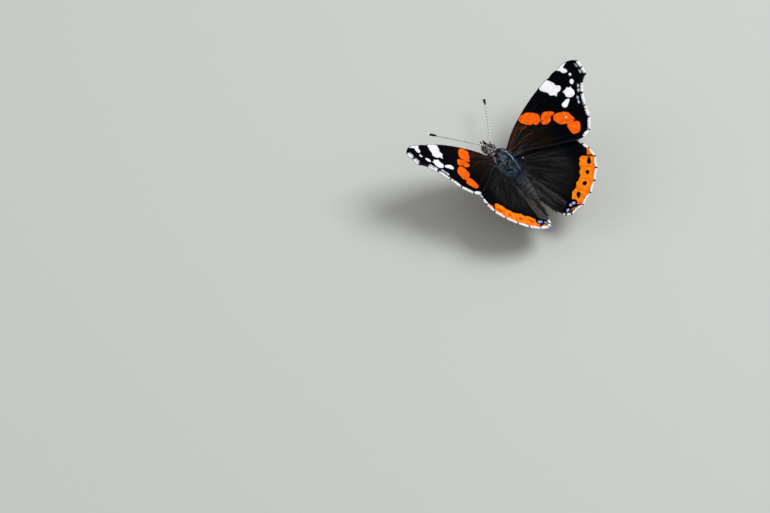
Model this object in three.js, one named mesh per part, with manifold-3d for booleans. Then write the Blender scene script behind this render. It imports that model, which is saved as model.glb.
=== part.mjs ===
// A red admiral butterfly standing on its four walking legs with the wings spread, at life size.
// Millimetres. The head points to -Y, the animal's left is +X and +Z is up.
// The body is laid out round the middle of the thorax and lifted onto the floor at the end.

import * as THREE from 'three';
import { mergeVertices } from 'three/addons/utils/BufferGeometryUtils.js';
import Module from 'manifold-3d';

const wasm = await Module();
wasm.setup();

// Driving sizes
const SEAM = 0.3; // clear gap between pieces that meet
const FLOOR = -7.2; // level of the feet, from the middle of the thorax
const WEB = 0.5; // thickness of the wing membrane
const RIDGE = 0.1; // height of a vein over each face of the membrane
const VEIN = 0.24; // half width of a vein's ridge

// Trunk: each station is [y, half width, half height, height of the centre]
const THORAX = [
  [-5.05, 1.7, 1.6, -0.2],
  [-4.8, 2.0, 1.9, -0.1],
  [-4.1, 2.45, 2.35, 0],
  [-3.2, 2.95, 2.7, 0.05],
  [-1.6, 3.2, 2.85, 0.05],
  [0, 3.1, 2.8, 0.1],
  [1.5, 2.8, 2.55, 0.2],
  [2.9, 2.35, 2.2, 0.35],
  [4.0, 1.9, 1.8, 0.5],
  [4.3, 1.5, 1.45, 0.5],
];
const HEAD = [
  [-7.5, 0.3, 0.35, -0.6],
  [-7.35, 0.85, 0.85, -0.55],
  [-6.95, 1.25, 1.25, -0.45],
  [-6.4, 1.4, 1.4, -0.35],
  [-5.85, 1.55, 1.5, -0.3],
  [-5.55, 1.65, 1.55, -0.25],
  [-5.35, 1.6, 1.5, -0.25],
];
const HEAD_SIDES = 20;
const TRUNK_SIDES = 24;

// Abdomen: rings that overlap like tiles along an axis that droops to the tip
const ABDOMEN_FRONT = 4.6;
const ABDOMEN_TIP = 13.8;
const ABDOMEN_RINGS = 7;
const ABDOMEN_STEP = 0.09; // how far a ring's hind edge stands over the next ring
const ABDOMEN_AXIS = [0.5, -0.55]; // height of the axis at the front and at the tip

// Eyes
const EYE_CENTRE = [1.14, -6.5, -0.32];
const EYE_RADII = [0.75, 0.88, 1.0];

// Wings: both pairs lie in planes raised by the same angle, the fore wing over the hind wing
const DIHEDRAL = 25.1;
const FORE = {
  hinge: [1.96, -2.21, 1.06],
  sweep: -16.1,
  rows: 12,
  arch: { rise: 0.45, span: 28, droop: 0.25 },
  scallop: 0.18,
  marginFrom: 'radius4',
};
const HIND = {
  hinge: [2.0, 0.1, -0.06],
  sweep: -22.9,
  rows: 11,
  arch: { rise: 0.15, span: 22, droop: 0 },
  scallop: 0.35,
  marginFrom: 'front',
};

// The hind wing's inner part bends down beside the abdomen and lies open again behind it
const FOLD = { at: 0.75, radius: 0.7, beside: 78, behind: 4, from: 9.0, to: 13.0 };

// Veins, front to rear, in the wing's own plane: outward, then forward. A vein with no parent
// leaves the hinge. The others leave their parent at a row and run by their bend to the margin.
const FORE_VEINS = [
  { name: 'front', path: [[0, 0.6], [3.9, 5.1], [9.0, 9.2], [14.6, 12.8]] },
  { name: 'subcosta', path: [[0.1, 0.3], [4.6, 4.7], [9.6, 8.7], [15.9, 13.4]] },
  { name: 'radius1', parent: 'radius', row: 4, path: [[13.8, 11.0], [18.6, 14.5]] },
  { name: 'radius2', parent: 'radius', row: 5, path: [[16.4, 12.2], [21.4, 15.7]] },
  { name: 'radius3', parent: 'radius', row: 7, path: [[20.6, 14.3], [24.8, 16.85]] },
  { name: 'radius4', parent: 'radius', row: 9, path: [[24.5, 14.9], [27.55, 16.05]] },
  { name: 'radius', path: [[0.2, 0.0], [5.6, 4.3], [11.2, 8.3], [17.4, 11.9], [23.0, 13.8], [28.2, 13.7]] },
  { name: 'media1', parent: 'radius', row: 5, path: [[18.5, 10.9], [24.0, 12.0], [28.4, 11.3]] },
  { name: 'media2', parent: 'media1', row: 6, path: [[18.0, 8.9], [22.6, 9.8], [26.5, 9.4]] },
  { name: 'media3', parent: 'cubitus', row: 6, path: [[16.6, 6.3], [20.8, 7.2], [25.3, 6.7]] },
  { name: 'cubitus', path: [[0.3, -0.4], [4.2, 1.0], [8.2, 2.5], [11.9, 4.0], [19.0, 4.3], [24.5, 3.1]] },
  { name: 'cubitus2', parent: 'cubitus', row: 4, path: [[14.0, 1.9], [18.6, 1.1], [24.2, -0.5]] },
  { name: 'anal', path: [[0.4, -0.9], [6.0, -0.9], [12.0, -1.9], [22.6, -4.0]] },
  { name: 'rear', path: [[0.5, -1.3], [5.0, -1.9], [12.0, -3.6], [20.2, -5.4]] },
];
const HIND_VEINS = [
  { name: 'front', path: [[0, 0.5], [4.5, 3.2], [9.5, 3.7], [14.5, 2.5], [18.2, 0.4]] },
  { name: 'subcosta', path: [[0.1, 0.1], [5.0, 1.3], [10.5, 1.9], [15.5, 1.0], [19.5, -1.1]] },
  { name: 'radius', path: [[0.15, -0.2], [4.2, -0.5], [8.6, -1.3], [14.5, -1.6], [20.8, -2.9]] },
  { name: 'media1', parent: 'radius', row: 4, path: [[14.0, -3.9], [18.8, -5.0], [21.7, -5.8]] },
  { name: 'media2', parent: 'media1', row: 5, path: [[14.5, -6.3], [18.4, -7.9], [21.0, -9.2]] },
  { name: 'media3', parent: 'cubitus', row: 5, path: [[13.4, -8.8], [16.9, -10.9], [19.4, -12.7]] },
  { name: 'cubitus', path: [[0.2, -0.5], [4.0, -3.2], [8.0, -7.0], [12.0, -10.8], [17.3, -15.6]] },
  { name: 'cubitus2', parent: 'cubitus', row: 4, path: [[9.2, -11.4], [14.3, -18.2]] },
  { name: 'anal', path: [[0.25, -0.7], [3.3, -4.2], [5.0, -8.6], [7.0, -13.2], [10.6, -19.8]] },
  { name: 'anal3', path: [[0.3, -0.9], [2.8, -4.4], [3.5, -8.2], [5.3, -12.9], [8.9, -19.5]] },
];

// The hind wing's inner edge: the left wing closes in behind the abdomen, the right one stands off
const HIND_INNER = {
  left: [
    [0.35, -1.1], [1.2, -3.7], [1.7, -6.9], [2.4, -10.2], [3.1, -12.6], [3.8, -13.9], [4.2, -14.8],
    [5.4, -15.9], [6.2, -17.3], [7.2, -18.6],
  ],
  right: [
    [0.35, -1.1], [1.2, -3.7], [1.9, -7.0], [3.1, -10.8], [4.5, -13.0], [5.6, -14.6], [6.7, -16.4],
    [8.0, -18.8],
  ],
};

// Feelers: from the crown beside the eye, forward and out, to a club with a pale tip
const FEELER_ROOT = [0.48, -7.0, 0.68];
const FEELER_TIP = { left: [10.3, -19.6, -1.45], right: [10.5, -20.8, -0.95] };
const FEELER_BOW = { left: [0.4, -0.2, 0.6], right: [1.0, 0.5, -0.1] }; // four times the shaft's sag
const FEELER_RADIUS = 0.25;
const CLUB_RADIUS = 0.36;
const CLUB_LENGTH = 2.6;

// Palps point forward and up, one each side of the coiled tongue
const PALP_ROOT = [0.62, -7.1, -1.25];
const PALP_KNEE = [0.6, -8.3, -0.95];
const PALP_TIP = [0.42, -9.65, -0.4];
const PALP_RADII = [0.42, 0.42, 0.25];
const TONGUE = { centre: [0, -7.45, -2.3], outer: 0.82, inner: 0.3, turns: 1.2, radius: 0.2 };

// Legs: joints from the thorax to the tip of the foot
const FORE_LEG = {
  joints: [[1.0, -4.1, -2.2], [1.7, -5.7, -2.9], [1.3, -7.0, -3.35], [1.0, -8.1, -3.5]],
  radii: [0.36, 0.3, 0.27, 0.2],
};
const MID_LEG = {
  joints: [
    [1.25, -2.5, -2.95], [4.9, -3.6, -2.5], [6.5, -5.0, -6.2], [7.1, -5.9, -6.98], [7.6, -7.4, -6.98],
  ],
  radii: [0.45, 0.34, 0.27, 0.26, 0.25],
};
const HIND_LEG = {
  joints: [
    [1.25, 0.9, -2.9], [4.6, 4.0, -3.1], [5.9, 7.4, -6.2], [6.3, 8.6, -6.98], [6.6, 9.8, -6.98],
  ],
  radii: [0.45, 0.34, 0.27, 0.26, 0.25],
};

// Colours and surface of each material
const MATERIALS = {
  thorax_coat: { color: 0x4a4a40, roughness: 0.9 },
  abdomen_coat: { color: 0x4d4438, roughness: 0.85 },
  head_coat: { color: 0x5a4a3f, roughness: 0.9 },
  eye: { color: 0x3a2418, roughness: 0.25 },
  palp: { color: 0x6b5a4b, roughness: 0.9 },
  tongue: { color: 0x2a1b12, roughness: 0.4 },
  feeler: { color: 0x1f1a17, roughness: 0.6 },
  fore_wing: { color: 0x1d1614, roughness: 0.75 },
  hind_wing: { color: 0x2b1c13, roughness: 0.75 },
  leg: { color: 0x6a4f38, roughness: 0.7 },
};

// Solids

function toSolid(geometry) {
  const bare = geometry.index ? geometry.toNonIndexed() : geometry.clone();
  bare.deleteAttribute('normal');
  bare.deleteAttribute('uv');
  const merged = mergeVertices(bare, 1e-4);
  return new wasm.Manifold(new wasm.Mesh({
    numProp: 3,
    vertProperties: new Float32Array(merged.attributes.position.array),
    triVerts: new Uint32Array(merged.index.array),
  }));
}

function toGeometry(solid) {
  const mesh = solid.getMesh();
  const geometry = new THREE.BufferGeometry();
  geometry.setAttribute('position', new THREE.BufferAttribute(new Float32Array(mesh.vertProperties), 3));
  geometry.setIndex(Array.from(mesh.triVerts));
  geometry.computeVertexNormals();
  return geometry;
}

function largest(solid) {
  const pieces = solid.decompose();
  return pieces.reduce((best, piece) => (piece.volume() > best.volume() ? piece : best));
}

// A closed skin over rings of equal count, with a point in the middle of each end
function loft(rings) {
  const sides = rings[0].length;
  const points = rings.flat();
  const faces = [];
  for (let row = 0; row + 1 < rings.length; row += 1) {
    for (let side = 0; side < sides; side += 1) {
      const next = (side + 1) % sides;
      const a = row * sides + side;
      const b = row * sides + next;
      const c = (row + 1) * sides + next;
      const d = (row + 1) * sides + side;
      faces.push([a, b, c], [a, c, d]);
    }
  }
  const ends = [rings[0], rings[rings.length - 1]];
  ends.forEach((ring, end) => {
    const middle = new THREE.Vector3();
    ring.forEach((point) => middle.addScaledVector(point, 1 / sides));
    const centre = points.push(middle) - 1;
    const first = end === 0 ? 0 : (rings.length - 1) * sides;
    for (let side = 0; side < sides; side += 1) {
      const a = first + side;
      const b = first + ((side + 1) % sides);
      faces.push(end === 0 ? [centre, b, a] : [centre, a, b]);
    }
  });
  return closedGeometry(points, faces);
}

// A geometry from points and faces, turned outward if its volume comes out negative
function closedGeometry(points, faces) {
  let volume = 0;
  faces.forEach(([a, b, c]) => {
    volume += points[a].dot(new THREE.Vector3().crossVectors(points[b], points[c]));
  });
  const outward = volume > 0 ? faces : faces.map(([a, b, c]) => [a, c, b]);
  const geometry = new THREE.BufferGeometry();
  const flat = points.flatMap((point) => [point.x, point.y, point.z]);
  geometry.setAttribute('position', new THREE.BufferAttribute(new Float32Array(flat), 3));
  geometry.setIndex(outward.flat());
  return geometry;
}

// Rings across the Y axis, grown outward where a neighbour is cut clear of them
function trunk(stations, sides, grow = 0) {
  const last = stations.length - 1;
  const rings = stations.map(([y, width, height, centre], index) => {
    const along = index === 0 ? y - grow : index === last ? y + grow : y;
    return Array.from({ length: sides }, (_, side) => {
      const angle = (2 * Math.PI * side) / sides;
      return new THREE.Vector3(
        (width + grow) * Math.cos(angle),
        along,
        centre + (height + grow) * Math.sin(angle),
      );
    });
  });
  return toSolid(loft(rings));
}

// A limb of round section through its joints, with a short rounded tip
function limb(route, radii, sides) {
  const count = route.length;
  const tangent = (index) => {
    const before = route[Math.max(index - 1, 0)];
    const after = route[Math.min(index + 1, count - 1)];
    return after.clone().sub(before).normalize();
  };
  let side = new THREE.Vector3(0, 0, 1).cross(tangent(0)).normalize();
  const rings = route.map((point, index) => {
    const forward = tangent(index);
    side = side.clone().addScaledVector(forward, -side.dot(forward)).normalize();
    const up = forward.clone().cross(side);
    return Array.from({ length: sides }, (_, step) => {
      const angle = (2 * Math.PI * (step + 0.5)) / sides;
      return point.clone()
        .addScaledVector(side, radii[index] * Math.cos(angle))
        .addScaledVector(up, radii[index] * Math.sin(angle));
    });
  });
  return loft(rings);
}

function ellipsoid(centre, radii, grow = 0) {
  const geometry = new THREE.SphereGeometry(1, 18, 12);
  geometry.scale(radii[0] + grow, radii[1] + grow, radii[2] + grow);
  geometry.translate(...centre);
  return toSolid(geometry);
}

function mirrored(solid) {
  return solid.mirror([1, 0, 0]);
}

const vector = (values) => new THREE.Vector3(...values);

// Wings

// The middle surface of a left wing: a point outward and forward in its plane, put in place
function wingPlace(plan, folded) {
  const sweep = THREE.MathUtils.degToRad(plan.sweep);
  const lift = THREE.MathUtils.degToRad(DIHEDRAL);
  const out = new THREE.Vector3(Math.cos(lift), 0, Math.sin(lift));
  const up = new THREE.Vector3(-Math.sin(lift), 0, Math.cos(lift));
  const hinge = vector(plan.hinge);
  return ([u, v]) => {
    const across = u * Math.cos(sweep) - v * Math.sin(sweep);
    const ahead = u * Math.sin(sweep) + v * Math.cos(sweep);
    const reach = Math.min(Math.hypot(u, folded ? v : 0) / plan.arch.span, 1);
    const rise = plan.arch.rise * Math.sin(Math.PI * reach) - plan.arch.droop * reach ** 6;
    const bent = folded ? fold(across, -ahead) : { across, drop: 0 };
    return hinge.clone()
      .addScaledVector(out, bent.across)
      .addScaledVector(up, rise - bent.drop)
      .add(new THREE.Vector3(0, -ahead, 0));
  };
}

// Inside the fold line the membrane turns down round an arc and then runs straight
function fold(across, back) {
  const inside = FOLD.at - across;
  if (inside <= 0) {
    return { across, drop: 0 };
  }
  const open = THREE.MathUtils.smoothstep(back, FOLD.from, FOLD.to);
  const full = THREE.MathUtils.degToRad(THREE.MathUtils.lerp(FOLD.beside, FOLD.behind, open));
  const angle = Math.min(inside / FOLD.radius, full);
  const straight = Math.max(inside - FOLD.radius * full, 0);
  return {
    across: FOLD.at - FOLD.radius * Math.sin(angle) - straight * Math.cos(full),
    drop: FOLD.radius * (1 - Math.cos(angle)) + straight * Math.sin(full),
  };
}

// Where each vein's crest lies on each row, from the hinge to the margin
function crestRoutes(veins, rows) {
  const routes = {};
  const trace = (vein) => {
    if (routes[vein.name]) {
      return;
    }
    let first = 0;
    let path = vein.path;
    if (vein.parent) {
      trace(veins.find((other) => other.name === vein.parent));
      first = vein.row;
      path = [routes[vein.parent][first], ...vein.path];
    }
    const curve = new THREE.CatmullRomCurve3(path.map(([u, v]) => new THREE.Vector3(u, v, 0)));
    routes[vein.name] = Array.from({ length: rows + 1 }, (_, row) => {
      const point = curve.getPointAt(Math.max(row - first, 0) / (rows - first));
      return [point.x, point.y];
    });
  };
  veins.forEach(trace);
  return routes;
}

const between = (a, b, share) => [a[0] + (b[0] - a[0]) * share, a[1] + (b[1] - a[1]) * share];

// One row across the wing: crests, the feet of their ridges, and the web's middle line
function wingRow(plan, veins, routes, row) {
  const present = veins.filter((vein) => !vein.parent || row > vein.row);
  const last = row === plan.rows;
  const margin = present.findIndex((vein) => vein.name === plan.marginFrom);
  const height = last ? RIDGE / 2 : RIDGE;
  const points = [];
  present.forEach((vein, index) => {
    const crest = routes[vein.name][row];
    points.push({ at: crest, lift: vein.name === 'rear' ? 0 : height, vein: vein.name });
    const next = present[index + 1];
    if (!next) {
      return;
    }
    const other = routes[next.name][row];
    const gap = Math.hypot(other[0] - crest[0], other[1] - crest[1]);
    const foot = Math.min(VEIN / gap, 0.3);
    const middle = between(crest, other, 0.5);
    if (last && index >= margin) {
      // The outer margin draws in between the vein ends
      const inner = Math.min(plan.scallop, gap * 0.14) / gap;
      middle[0] += (other[1] - crest[1]) * inner;
      middle[1] -= (other[0] - crest[0]) * inner;
    }
    points.push({ at: between(crest, other, foot), lift: 0 });
    points.push({ at: middle, lift: 0 });
    if (next.name !== 'rear') {
      points.push({ at: between(crest, other, 1 - foot), lift: 0 });
    }
  });
  return points;
}

// Triangles between two rows, held together at the crests that run through both
function joinRows(veins, inner, outer, row) {
  const find = (points, name) => points.findIndex((point) => point.vein === name);
  const anchors = [];
  outer.forEach((point, index) => {
    if (!point.vein) {
      return;
    }
    let name = point.vein;
    while (find(inner, name) < 0) {
      name = veins.find((vein) => vein.name === name).parent;
    }
    anchors.push([find(inner, name), index]);
  });
  const faces = [];
  for (let step = 0; step + 1 < anchors.length; step += 1) {
    let [a, b] = anchors[step];
    const [aEnd, bEnd] = anchors[step + 1];
    const aCount = aEnd - a;
    const bCount = bEnd - b;
    const aStart = a;
    const bStart = b;
    while (a < aEnd || b < bEnd) {
      const aShare = a < aEnd ? (a + 1 - aStart) / aCount : 2;
      const bShare = b < bEnd ? (b + 1 - bStart) / bCount : 2;
      if (aShare < bShare) {
        faces.push([[row, a], [row, a + 1], [row + 1, b]]);
        a += 1;
      } else {
        faces.push([[row, a], [row + 1, b + 1], [row + 1, b]]);
        b += 1;
      }
    }
  }
  return faces;
}

// A left wing: the web with raised veins, its two faces split into triangles alike
function wing(plan, veins, folded) {
  const place = wingPlace(plan, folded);
  const normalAt = ([u, v]) => {
    const step = 0.05;
    const along = place([u + step, v]).sub(place([u - step, v]));
    const aside = place([u, v + step]).sub(place([u, v - step]));
    return aside.cross(along).normalize().negate();
  };
  const routes = crestRoutes(veins, plan.rows);
  const rows = [];
  for (let row = 0; row <= plan.rows; row += 1) {
    rows.push(wingRow(plan, veins, routes, row));
  }
  const starts = [];
  const points = [];
  rows.forEach((line) => {
    starts.push(points.length / 2);
    line.forEach(({ at, lift }) => {
      const middle = place(at);
      const normal = normalAt(at);
      points.push(middle.clone().addScaledVector(normal, WEB / 2 + lift));
      points.push(middle.clone().addScaledVector(normal, -WEB / 2 - lift));
    });
  });
  const vertex = ([row, index], face) => 2 * (starts[row] + index) + face;
  const faces = [];
  for (let row = 0; row < plan.rows; row += 1) {
    joinRows(veins, rows[row], rows[row + 1], row).forEach((corners) => {
      const [a, b, c] = corners;
      faces.push([vertex(a, 0), vertex(b, 0), vertex(c, 0)]);
      faces.push([vertex(a, 1), vertex(c, 1), vertex(b, 1)]);
    });
  }
  // The rim runs along the hinge, the rear edge, the margin and the front edge
  const rim = [];
  rows[0].forEach((_, index) => rim.push([0, index]));
  for (let row = 1; row <= plan.rows; row += 1) {
    rim.push([row, rows[row].length - 1]);
  }
  for (let index = rows[plan.rows].length - 2; index >= 0; index -= 1) {
    rim.push([plan.rows, index]);
  }
  for (let row = plan.rows - 1; row > 0; row -= 1) {
    rim.push([row, 0]);
  }
  rim.forEach((corner, index) => {
    const next = rim[(index + 1) % rim.length];
    faces.push([vertex(corner, 0), vertex(corner, 1), vertex(next, 1)]);
    faces.push([vertex(corner, 0), vertex(next, 1), vertex(next, 0)]);
  });
  return toSolid(closedGeometry(points, faces));
}

// Abdomen

function abdomenStations(grow = 0) {
  const length = ABDOMEN_TIP - ABDOMEN_FRONT;
  const size = (share) => 1.95 * Math.sqrt(Math.max(1 - share ** 3.2, 0)) * (1 - 0.16 * share);
  const axis = (share) => ABDOMEN_AXIS[0] + (ABDOMEN_AXIS[1] - ABDOMEN_AXIS[0]) * share ** 1.3;
  const stations = [[ABDOMEN_FRONT, 1.45, 1.35, ABDOMEN_AXIS[0]]];
  for (let ring = 0; ring < ABDOMEN_RINGS; ring += 1) {
    [0.12, 0.6, 0.94, 1.0].forEach((part) => {
      const share = (ring + part) / (ABDOMEN_RINGS + 0.15);
      const step = part === 0.94 ? ABDOMEN_STEP : part === 0.6 ? ABDOMEN_STEP / 2 : 0;
      const radius = Math.max(size(share), 0.25) + step;
      stations.push([ABDOMEN_FRONT + length * share, radius, radius * 0.94, axis(share)]);
    });
  }
  return stations.map(([y, width, height, centre]) => [y, width + grow, height + grow, centre]);
}

// Limbs

// Points along straight joints, each stretch cut into equal steps
function limbRoute(joints, radii, steps) {
  const route = [];
  const sizes = [];
  joints.slice(0, -1).forEach((joint, index) => {
    for (let step = 0; step < steps; step += 1) {
      const share = step / steps;
      route.push(vector(joint).lerp(vector(joints[index + 1]), share));
      const swell = 1 + 0.18 * Math.sin(Math.PI * share);
      sizes.push((radii[index] + (radii[index + 1] - radii[index]) * share) * swell);
    }
  });
  route.push(vector(joints[joints.length - 1]));
  sizes.push(radii[radii.length - 1] * 0.7);
  return { route, sizes };
}

function spine(from, to, radius) {
  const start = vector(from);
  const end = vector(to);
  return toSolid(limb([start, end], [radius, radius * 0.3], 6));
}

function leg(plan, spurred) {
  const { route, sizes } = limbRoute(plan.joints, plan.radii, 4);
  let solid = toSolid(limb(route, sizes, 8));
  if (spurred) {
    const [knee, ankle, sole, toe] = plan.joints.slice(1).map(vector);
    const down = ankle.clone().sub(knee).normalize();
    const along = toe.clone().sub(sole).normalize();
    const aside = along.clone().cross(new THREE.Vector3(0, 0, 1)).normalize();
    [-1, 1].forEach((side) => {
      const root = ankle.clone().addScaledVector(down, -0.5);
      const tip = root.clone().addScaledVector(down, 0.75).addScaledVector(aside, side * 0.5);
      solid = solid.add(spine(root.toArray(), tip.toArray(), 0.14));
      const heel = toe.clone().addScaledVector(along, -0.3);
      const claw = toe.clone().addScaledVector(along, 0.3).addScaledVector(aside, side * 0.28);
      solid = solid.add(spine(heel.toArray(), claw.toArray(), 0.13));
    });
    const ground = new THREE.BoxGeometry(60, 60, 4);
    ground.translate(0, 0, FLOOR - 2);
    solid = solid.subtract(toSolid(ground));
  }
  return solid;
}

function feeler(side) {
  const root = vector(FEELER_ROOT);
  const reach = vector(FEELER_TIP[side]).sub(root);
  const bow = vector(FEELER_BOW[side]);
  const length = reach.length();
  const steps = 18;
  const route = [];
  const sizes = [];
  for (let step = 0; step <= steps; step += 1) {
    const share = step / steps;
    const point = root.clone().addScaledVector(reach, share);
    route.push(point.addScaledVector(bow, share * (1 - share)));
    const toTip = (1 - share) * length;
    const swell = THREE.MathUtils.smoothstep(CLUB_LENGTH - toTip, 0, CLUB_LENGTH * 0.55);
    const close = Math.sqrt(Math.min(toTip / 0.5 + 0.12, 1));
    sizes.push((FEELER_RADIUS + (CLUB_RADIUS - FEELER_RADIUS) * swell) * close);
  }
  return toSolid(limb(route, sizes, 8));
}

function palp() {
  const { route, sizes } = limbRoute([PALP_ROOT, PALP_KNEE, PALP_TIP], PALP_RADII, 4);
  return toSolid(limb(route, sizes, 10));
}

function tongue() {
  const steps = 22;
  const route = [];
  const sizes = [];
  for (let step = 0; step <= steps; step += 1) {
    const share = step / steps;
    const angle = Math.PI / 2 - 2 * Math.PI * TONGUE.turns * share;
    const radius = TONGUE.outer + (TONGUE.inner - TONGUE.outer) * share;
    route.push(vector(TONGUE.centre).add(
      new THREE.Vector3(0, radius * Math.cos(angle) * -1, radius * Math.sin(angle)),
    ));
    sizes.push(TONGUE.radius * (1 - 0.35 * share));
  }
  return toSolid(limb(route, sizes, 8));
}

// Assembly

const thorax = trunk(THORAX, TRUNK_SIDES);
const aroundThorax = trunk(THORAX, TRUNK_SIDES, SEAM);
const aroundAbdomen = trunk(abdomenStations(SEAM), TRUNK_SIDES);
const abdomen = trunk(abdomenStations(), TRUNK_SIDES);
const leftEye = ellipsoid(EYE_CENTRE, EYE_RADII);
const leftSocket = ellipsoid(EYE_CENTRE, EYE_RADII, SEAM * 0.8);
const skull = trunk(HEAD, HEAD_SIDES);
const head = largest(skull.subtract(leftSocket).subtract(mirrored(leftSocket)));
const aroundHead = trunk(HEAD, HEAD_SIDES, SEAM);

const foreWing = largest(wing(FORE, FORE_VEINS, false).subtract(aroundThorax));
const [leftHindWing, rightHindWing] = [HIND_INNER.left, HIND_INNER.right].map((path) => {
  const veins = [...HIND_VEINS, { name: 'rear', path }];
  return largest(wing(HIND, veins, true).subtract(aroundThorax).subtract(aroundAbdomen));
});
const pairs = {
  eye: [leftEye, 'eye'],
  palp: [largest(palp().subtract(aroundHead)), 'palp'],
  fore_wing: [foreWing, 'fore_wing'],
  fore_leg: [largest(leg(FORE_LEG, false).subtract(aroundThorax)), 'leg'],
  mid_leg: [largest(leg(MID_LEG, true).subtract(aroundThorax)), 'leg'],
  hind_leg: [largest(leg(HIND_LEG, true).subtract(aroundThorax)), 'leg'],
};

const body = new THREE.Group();

function addNode(name, solid, material) {
  const { color, roughness } = MATERIALS[material];
  const surface = new THREE.MeshStandardMaterial({ color, roughness, metalness: 0 });
  surface.name = material;
  const mesh = new THREE.Mesh(toGeometry(solid), surface);
  mesh.name = name;
  body.add(mesh);
}

addNode('thorax', thorax, 'thorax_coat');
addNode('abdomen', abdomen, 'abdomen_coat');
addNode('head', head, 'head_coat');
addNode('proboscis', largest(tongue().subtract(aroundHead)), 'tongue');
const [leftFeeler, rightFeeler] = ['left', 'right'].map(
  (side) => largest(feeler(side).subtract(aroundHead)),
);
addNode('antenna_left', leftFeeler, 'feeler');
addNode('antenna_right', mirrored(rightFeeler), 'feeler');
addNode('hind_wing_left', leftHindWing, 'hind_wing');
addNode('hind_wing_right', mirrored(rightHindWing), 'hind_wing');
Object.entries(pairs).forEach(([name, [solid, material]]) => {
  addNode(`${name}_left`, solid, material);
  addNode(`${name}_right`, mirrored(solid), material);
});

// The origin is under the middle of the whole animal, on the floor
const box = new THREE.Box3().setFromObject(body);
body.position.set(0, -(box.min.y + box.max.y) / 2, -FLOOR);

const butterfly = new THREE.Group();
butterfly.name = 'red_admiral';
butterfly.add(body);

export default butterfly;
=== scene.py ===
"""A red admiral butterfly at life size, standing with its wings spread, dressed round its solids.

Sizes are millimetres in the body's own frame: the origin is the middle of the thorax, +X is the
animal's left, -Y its head and +Z up. Meshes are put on the floor as they are made.
"""

import math

import bpy
import numpy as np
from mathutils import Matrix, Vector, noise


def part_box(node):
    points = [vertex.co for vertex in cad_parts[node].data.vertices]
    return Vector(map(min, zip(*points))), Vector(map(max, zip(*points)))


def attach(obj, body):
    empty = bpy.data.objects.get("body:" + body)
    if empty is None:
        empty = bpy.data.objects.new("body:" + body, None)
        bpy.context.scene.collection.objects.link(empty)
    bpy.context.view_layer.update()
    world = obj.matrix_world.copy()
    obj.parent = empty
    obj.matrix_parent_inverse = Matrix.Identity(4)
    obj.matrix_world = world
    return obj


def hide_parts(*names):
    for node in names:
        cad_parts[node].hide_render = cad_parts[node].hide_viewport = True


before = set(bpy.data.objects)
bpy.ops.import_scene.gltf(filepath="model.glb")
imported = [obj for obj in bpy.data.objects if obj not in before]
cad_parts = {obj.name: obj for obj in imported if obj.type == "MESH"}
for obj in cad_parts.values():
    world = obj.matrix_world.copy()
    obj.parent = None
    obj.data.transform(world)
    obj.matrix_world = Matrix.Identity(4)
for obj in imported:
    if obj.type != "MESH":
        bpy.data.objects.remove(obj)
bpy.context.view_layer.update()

MM = 0.001
THORAX_FRONT = -5.05
FLOOR = -7.2
BODY_ORIGIN = np.array([0.0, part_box("thorax")[0].y / MM - THORAX_FRONT, -FLOOR])
SIDES = {"left": 1, "right": -1}

# Wings: planes raised by one angle, placed by the same rule as the solids
DIHEDRAL = 25.1
FORE = {
    "name": "fore_wing",
    "hinge": (1.96, -2.21, 1.06),
    "sweep": -16.1,
    "rows": 12,
    "rise": 0.45,
    "span": 28,
    "droop": 0.25,
    "scallop": 0.18,
    "folded": False,
    "fringe_from": "radius4",
    "fringe_seed": 12,
    "hair_seed": 22,
    "hair_count": 2600,
    "hair_length": 1.5,
}
HIND = {
    "name": "hind_wing",
    "hinge": (2.0, 0.1, -0.06),
    "sweep": -22.9,
    "rows": 11,
    "rise": 0.15,
    "span": 22,
    "droop": 0,
    "scallop": 0.35,
    "folded": True,
    "fringe_from": "front",
    "fringe_seed": 11,
    "hair_seed": 21,
    "hair_count": 6200,
    "hair_length": 2.3,
}
FOLD = {"at": 0.75, "radius": 0.7, "beside": 78, "behind": 4, "from": 9.0, "to": 13.0}
CREASE_START = -0.33  # where the crease of the hind wing's inner part starts, and how it fans out
CREASE_SPREAD = 0.2
FAN_INSET = 2.0  # how far inside the hinge the fan of scales and hair has its middle
HIND_BORDER = 17  # how far out the hind wing's edge counts as its margin
MEMBRANE = 0.1
VEIN_RISE = 0.07
VEIN_HALF = (0.17, 0.08)  # half width of a vein at the root and at the margin
PLEAT = 0.09
BULGE = -0.075  # how far the margin bows out between veins where it has no fringe, as a share
SCALLOP_SHARE = 0.14  # how far it draws in between veins at most, as a share
PLAIN_MARGIN = 0.08  # how far the membrane stands back from the solid's margin where it has no fringe
FRINGE = 0.42  # how far the margin's scales stand past the membrane
FRINGE_SPACING = 0.028
FRINGE_OFFSET = MEMBRANE / 2 + 0.015
# Rows of fringe scales: how far inside the edge they start, and how long the white and dark ones are
FRINGE_ROWS = {
    ("fore_wing", "right"): ((0.15, 0.62, 0.3), (0.42, 0.86, 0.55)),
    ("fore_wing", "left"): ((0.2, 0.84, 0.4), (0.62, 1.2, 0.8)),
    ("hind_wing", "right"): ((0.08, 0.5, 0.3), (0.2, 0.64, 0.45)),
    ("hind_wing", "left"): ((0.1, 0.78, 0.35), (0.36, 1.12, 0.66)),
}
GRID_STEP = 0.33  # spacing of the wing's mesh

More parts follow.
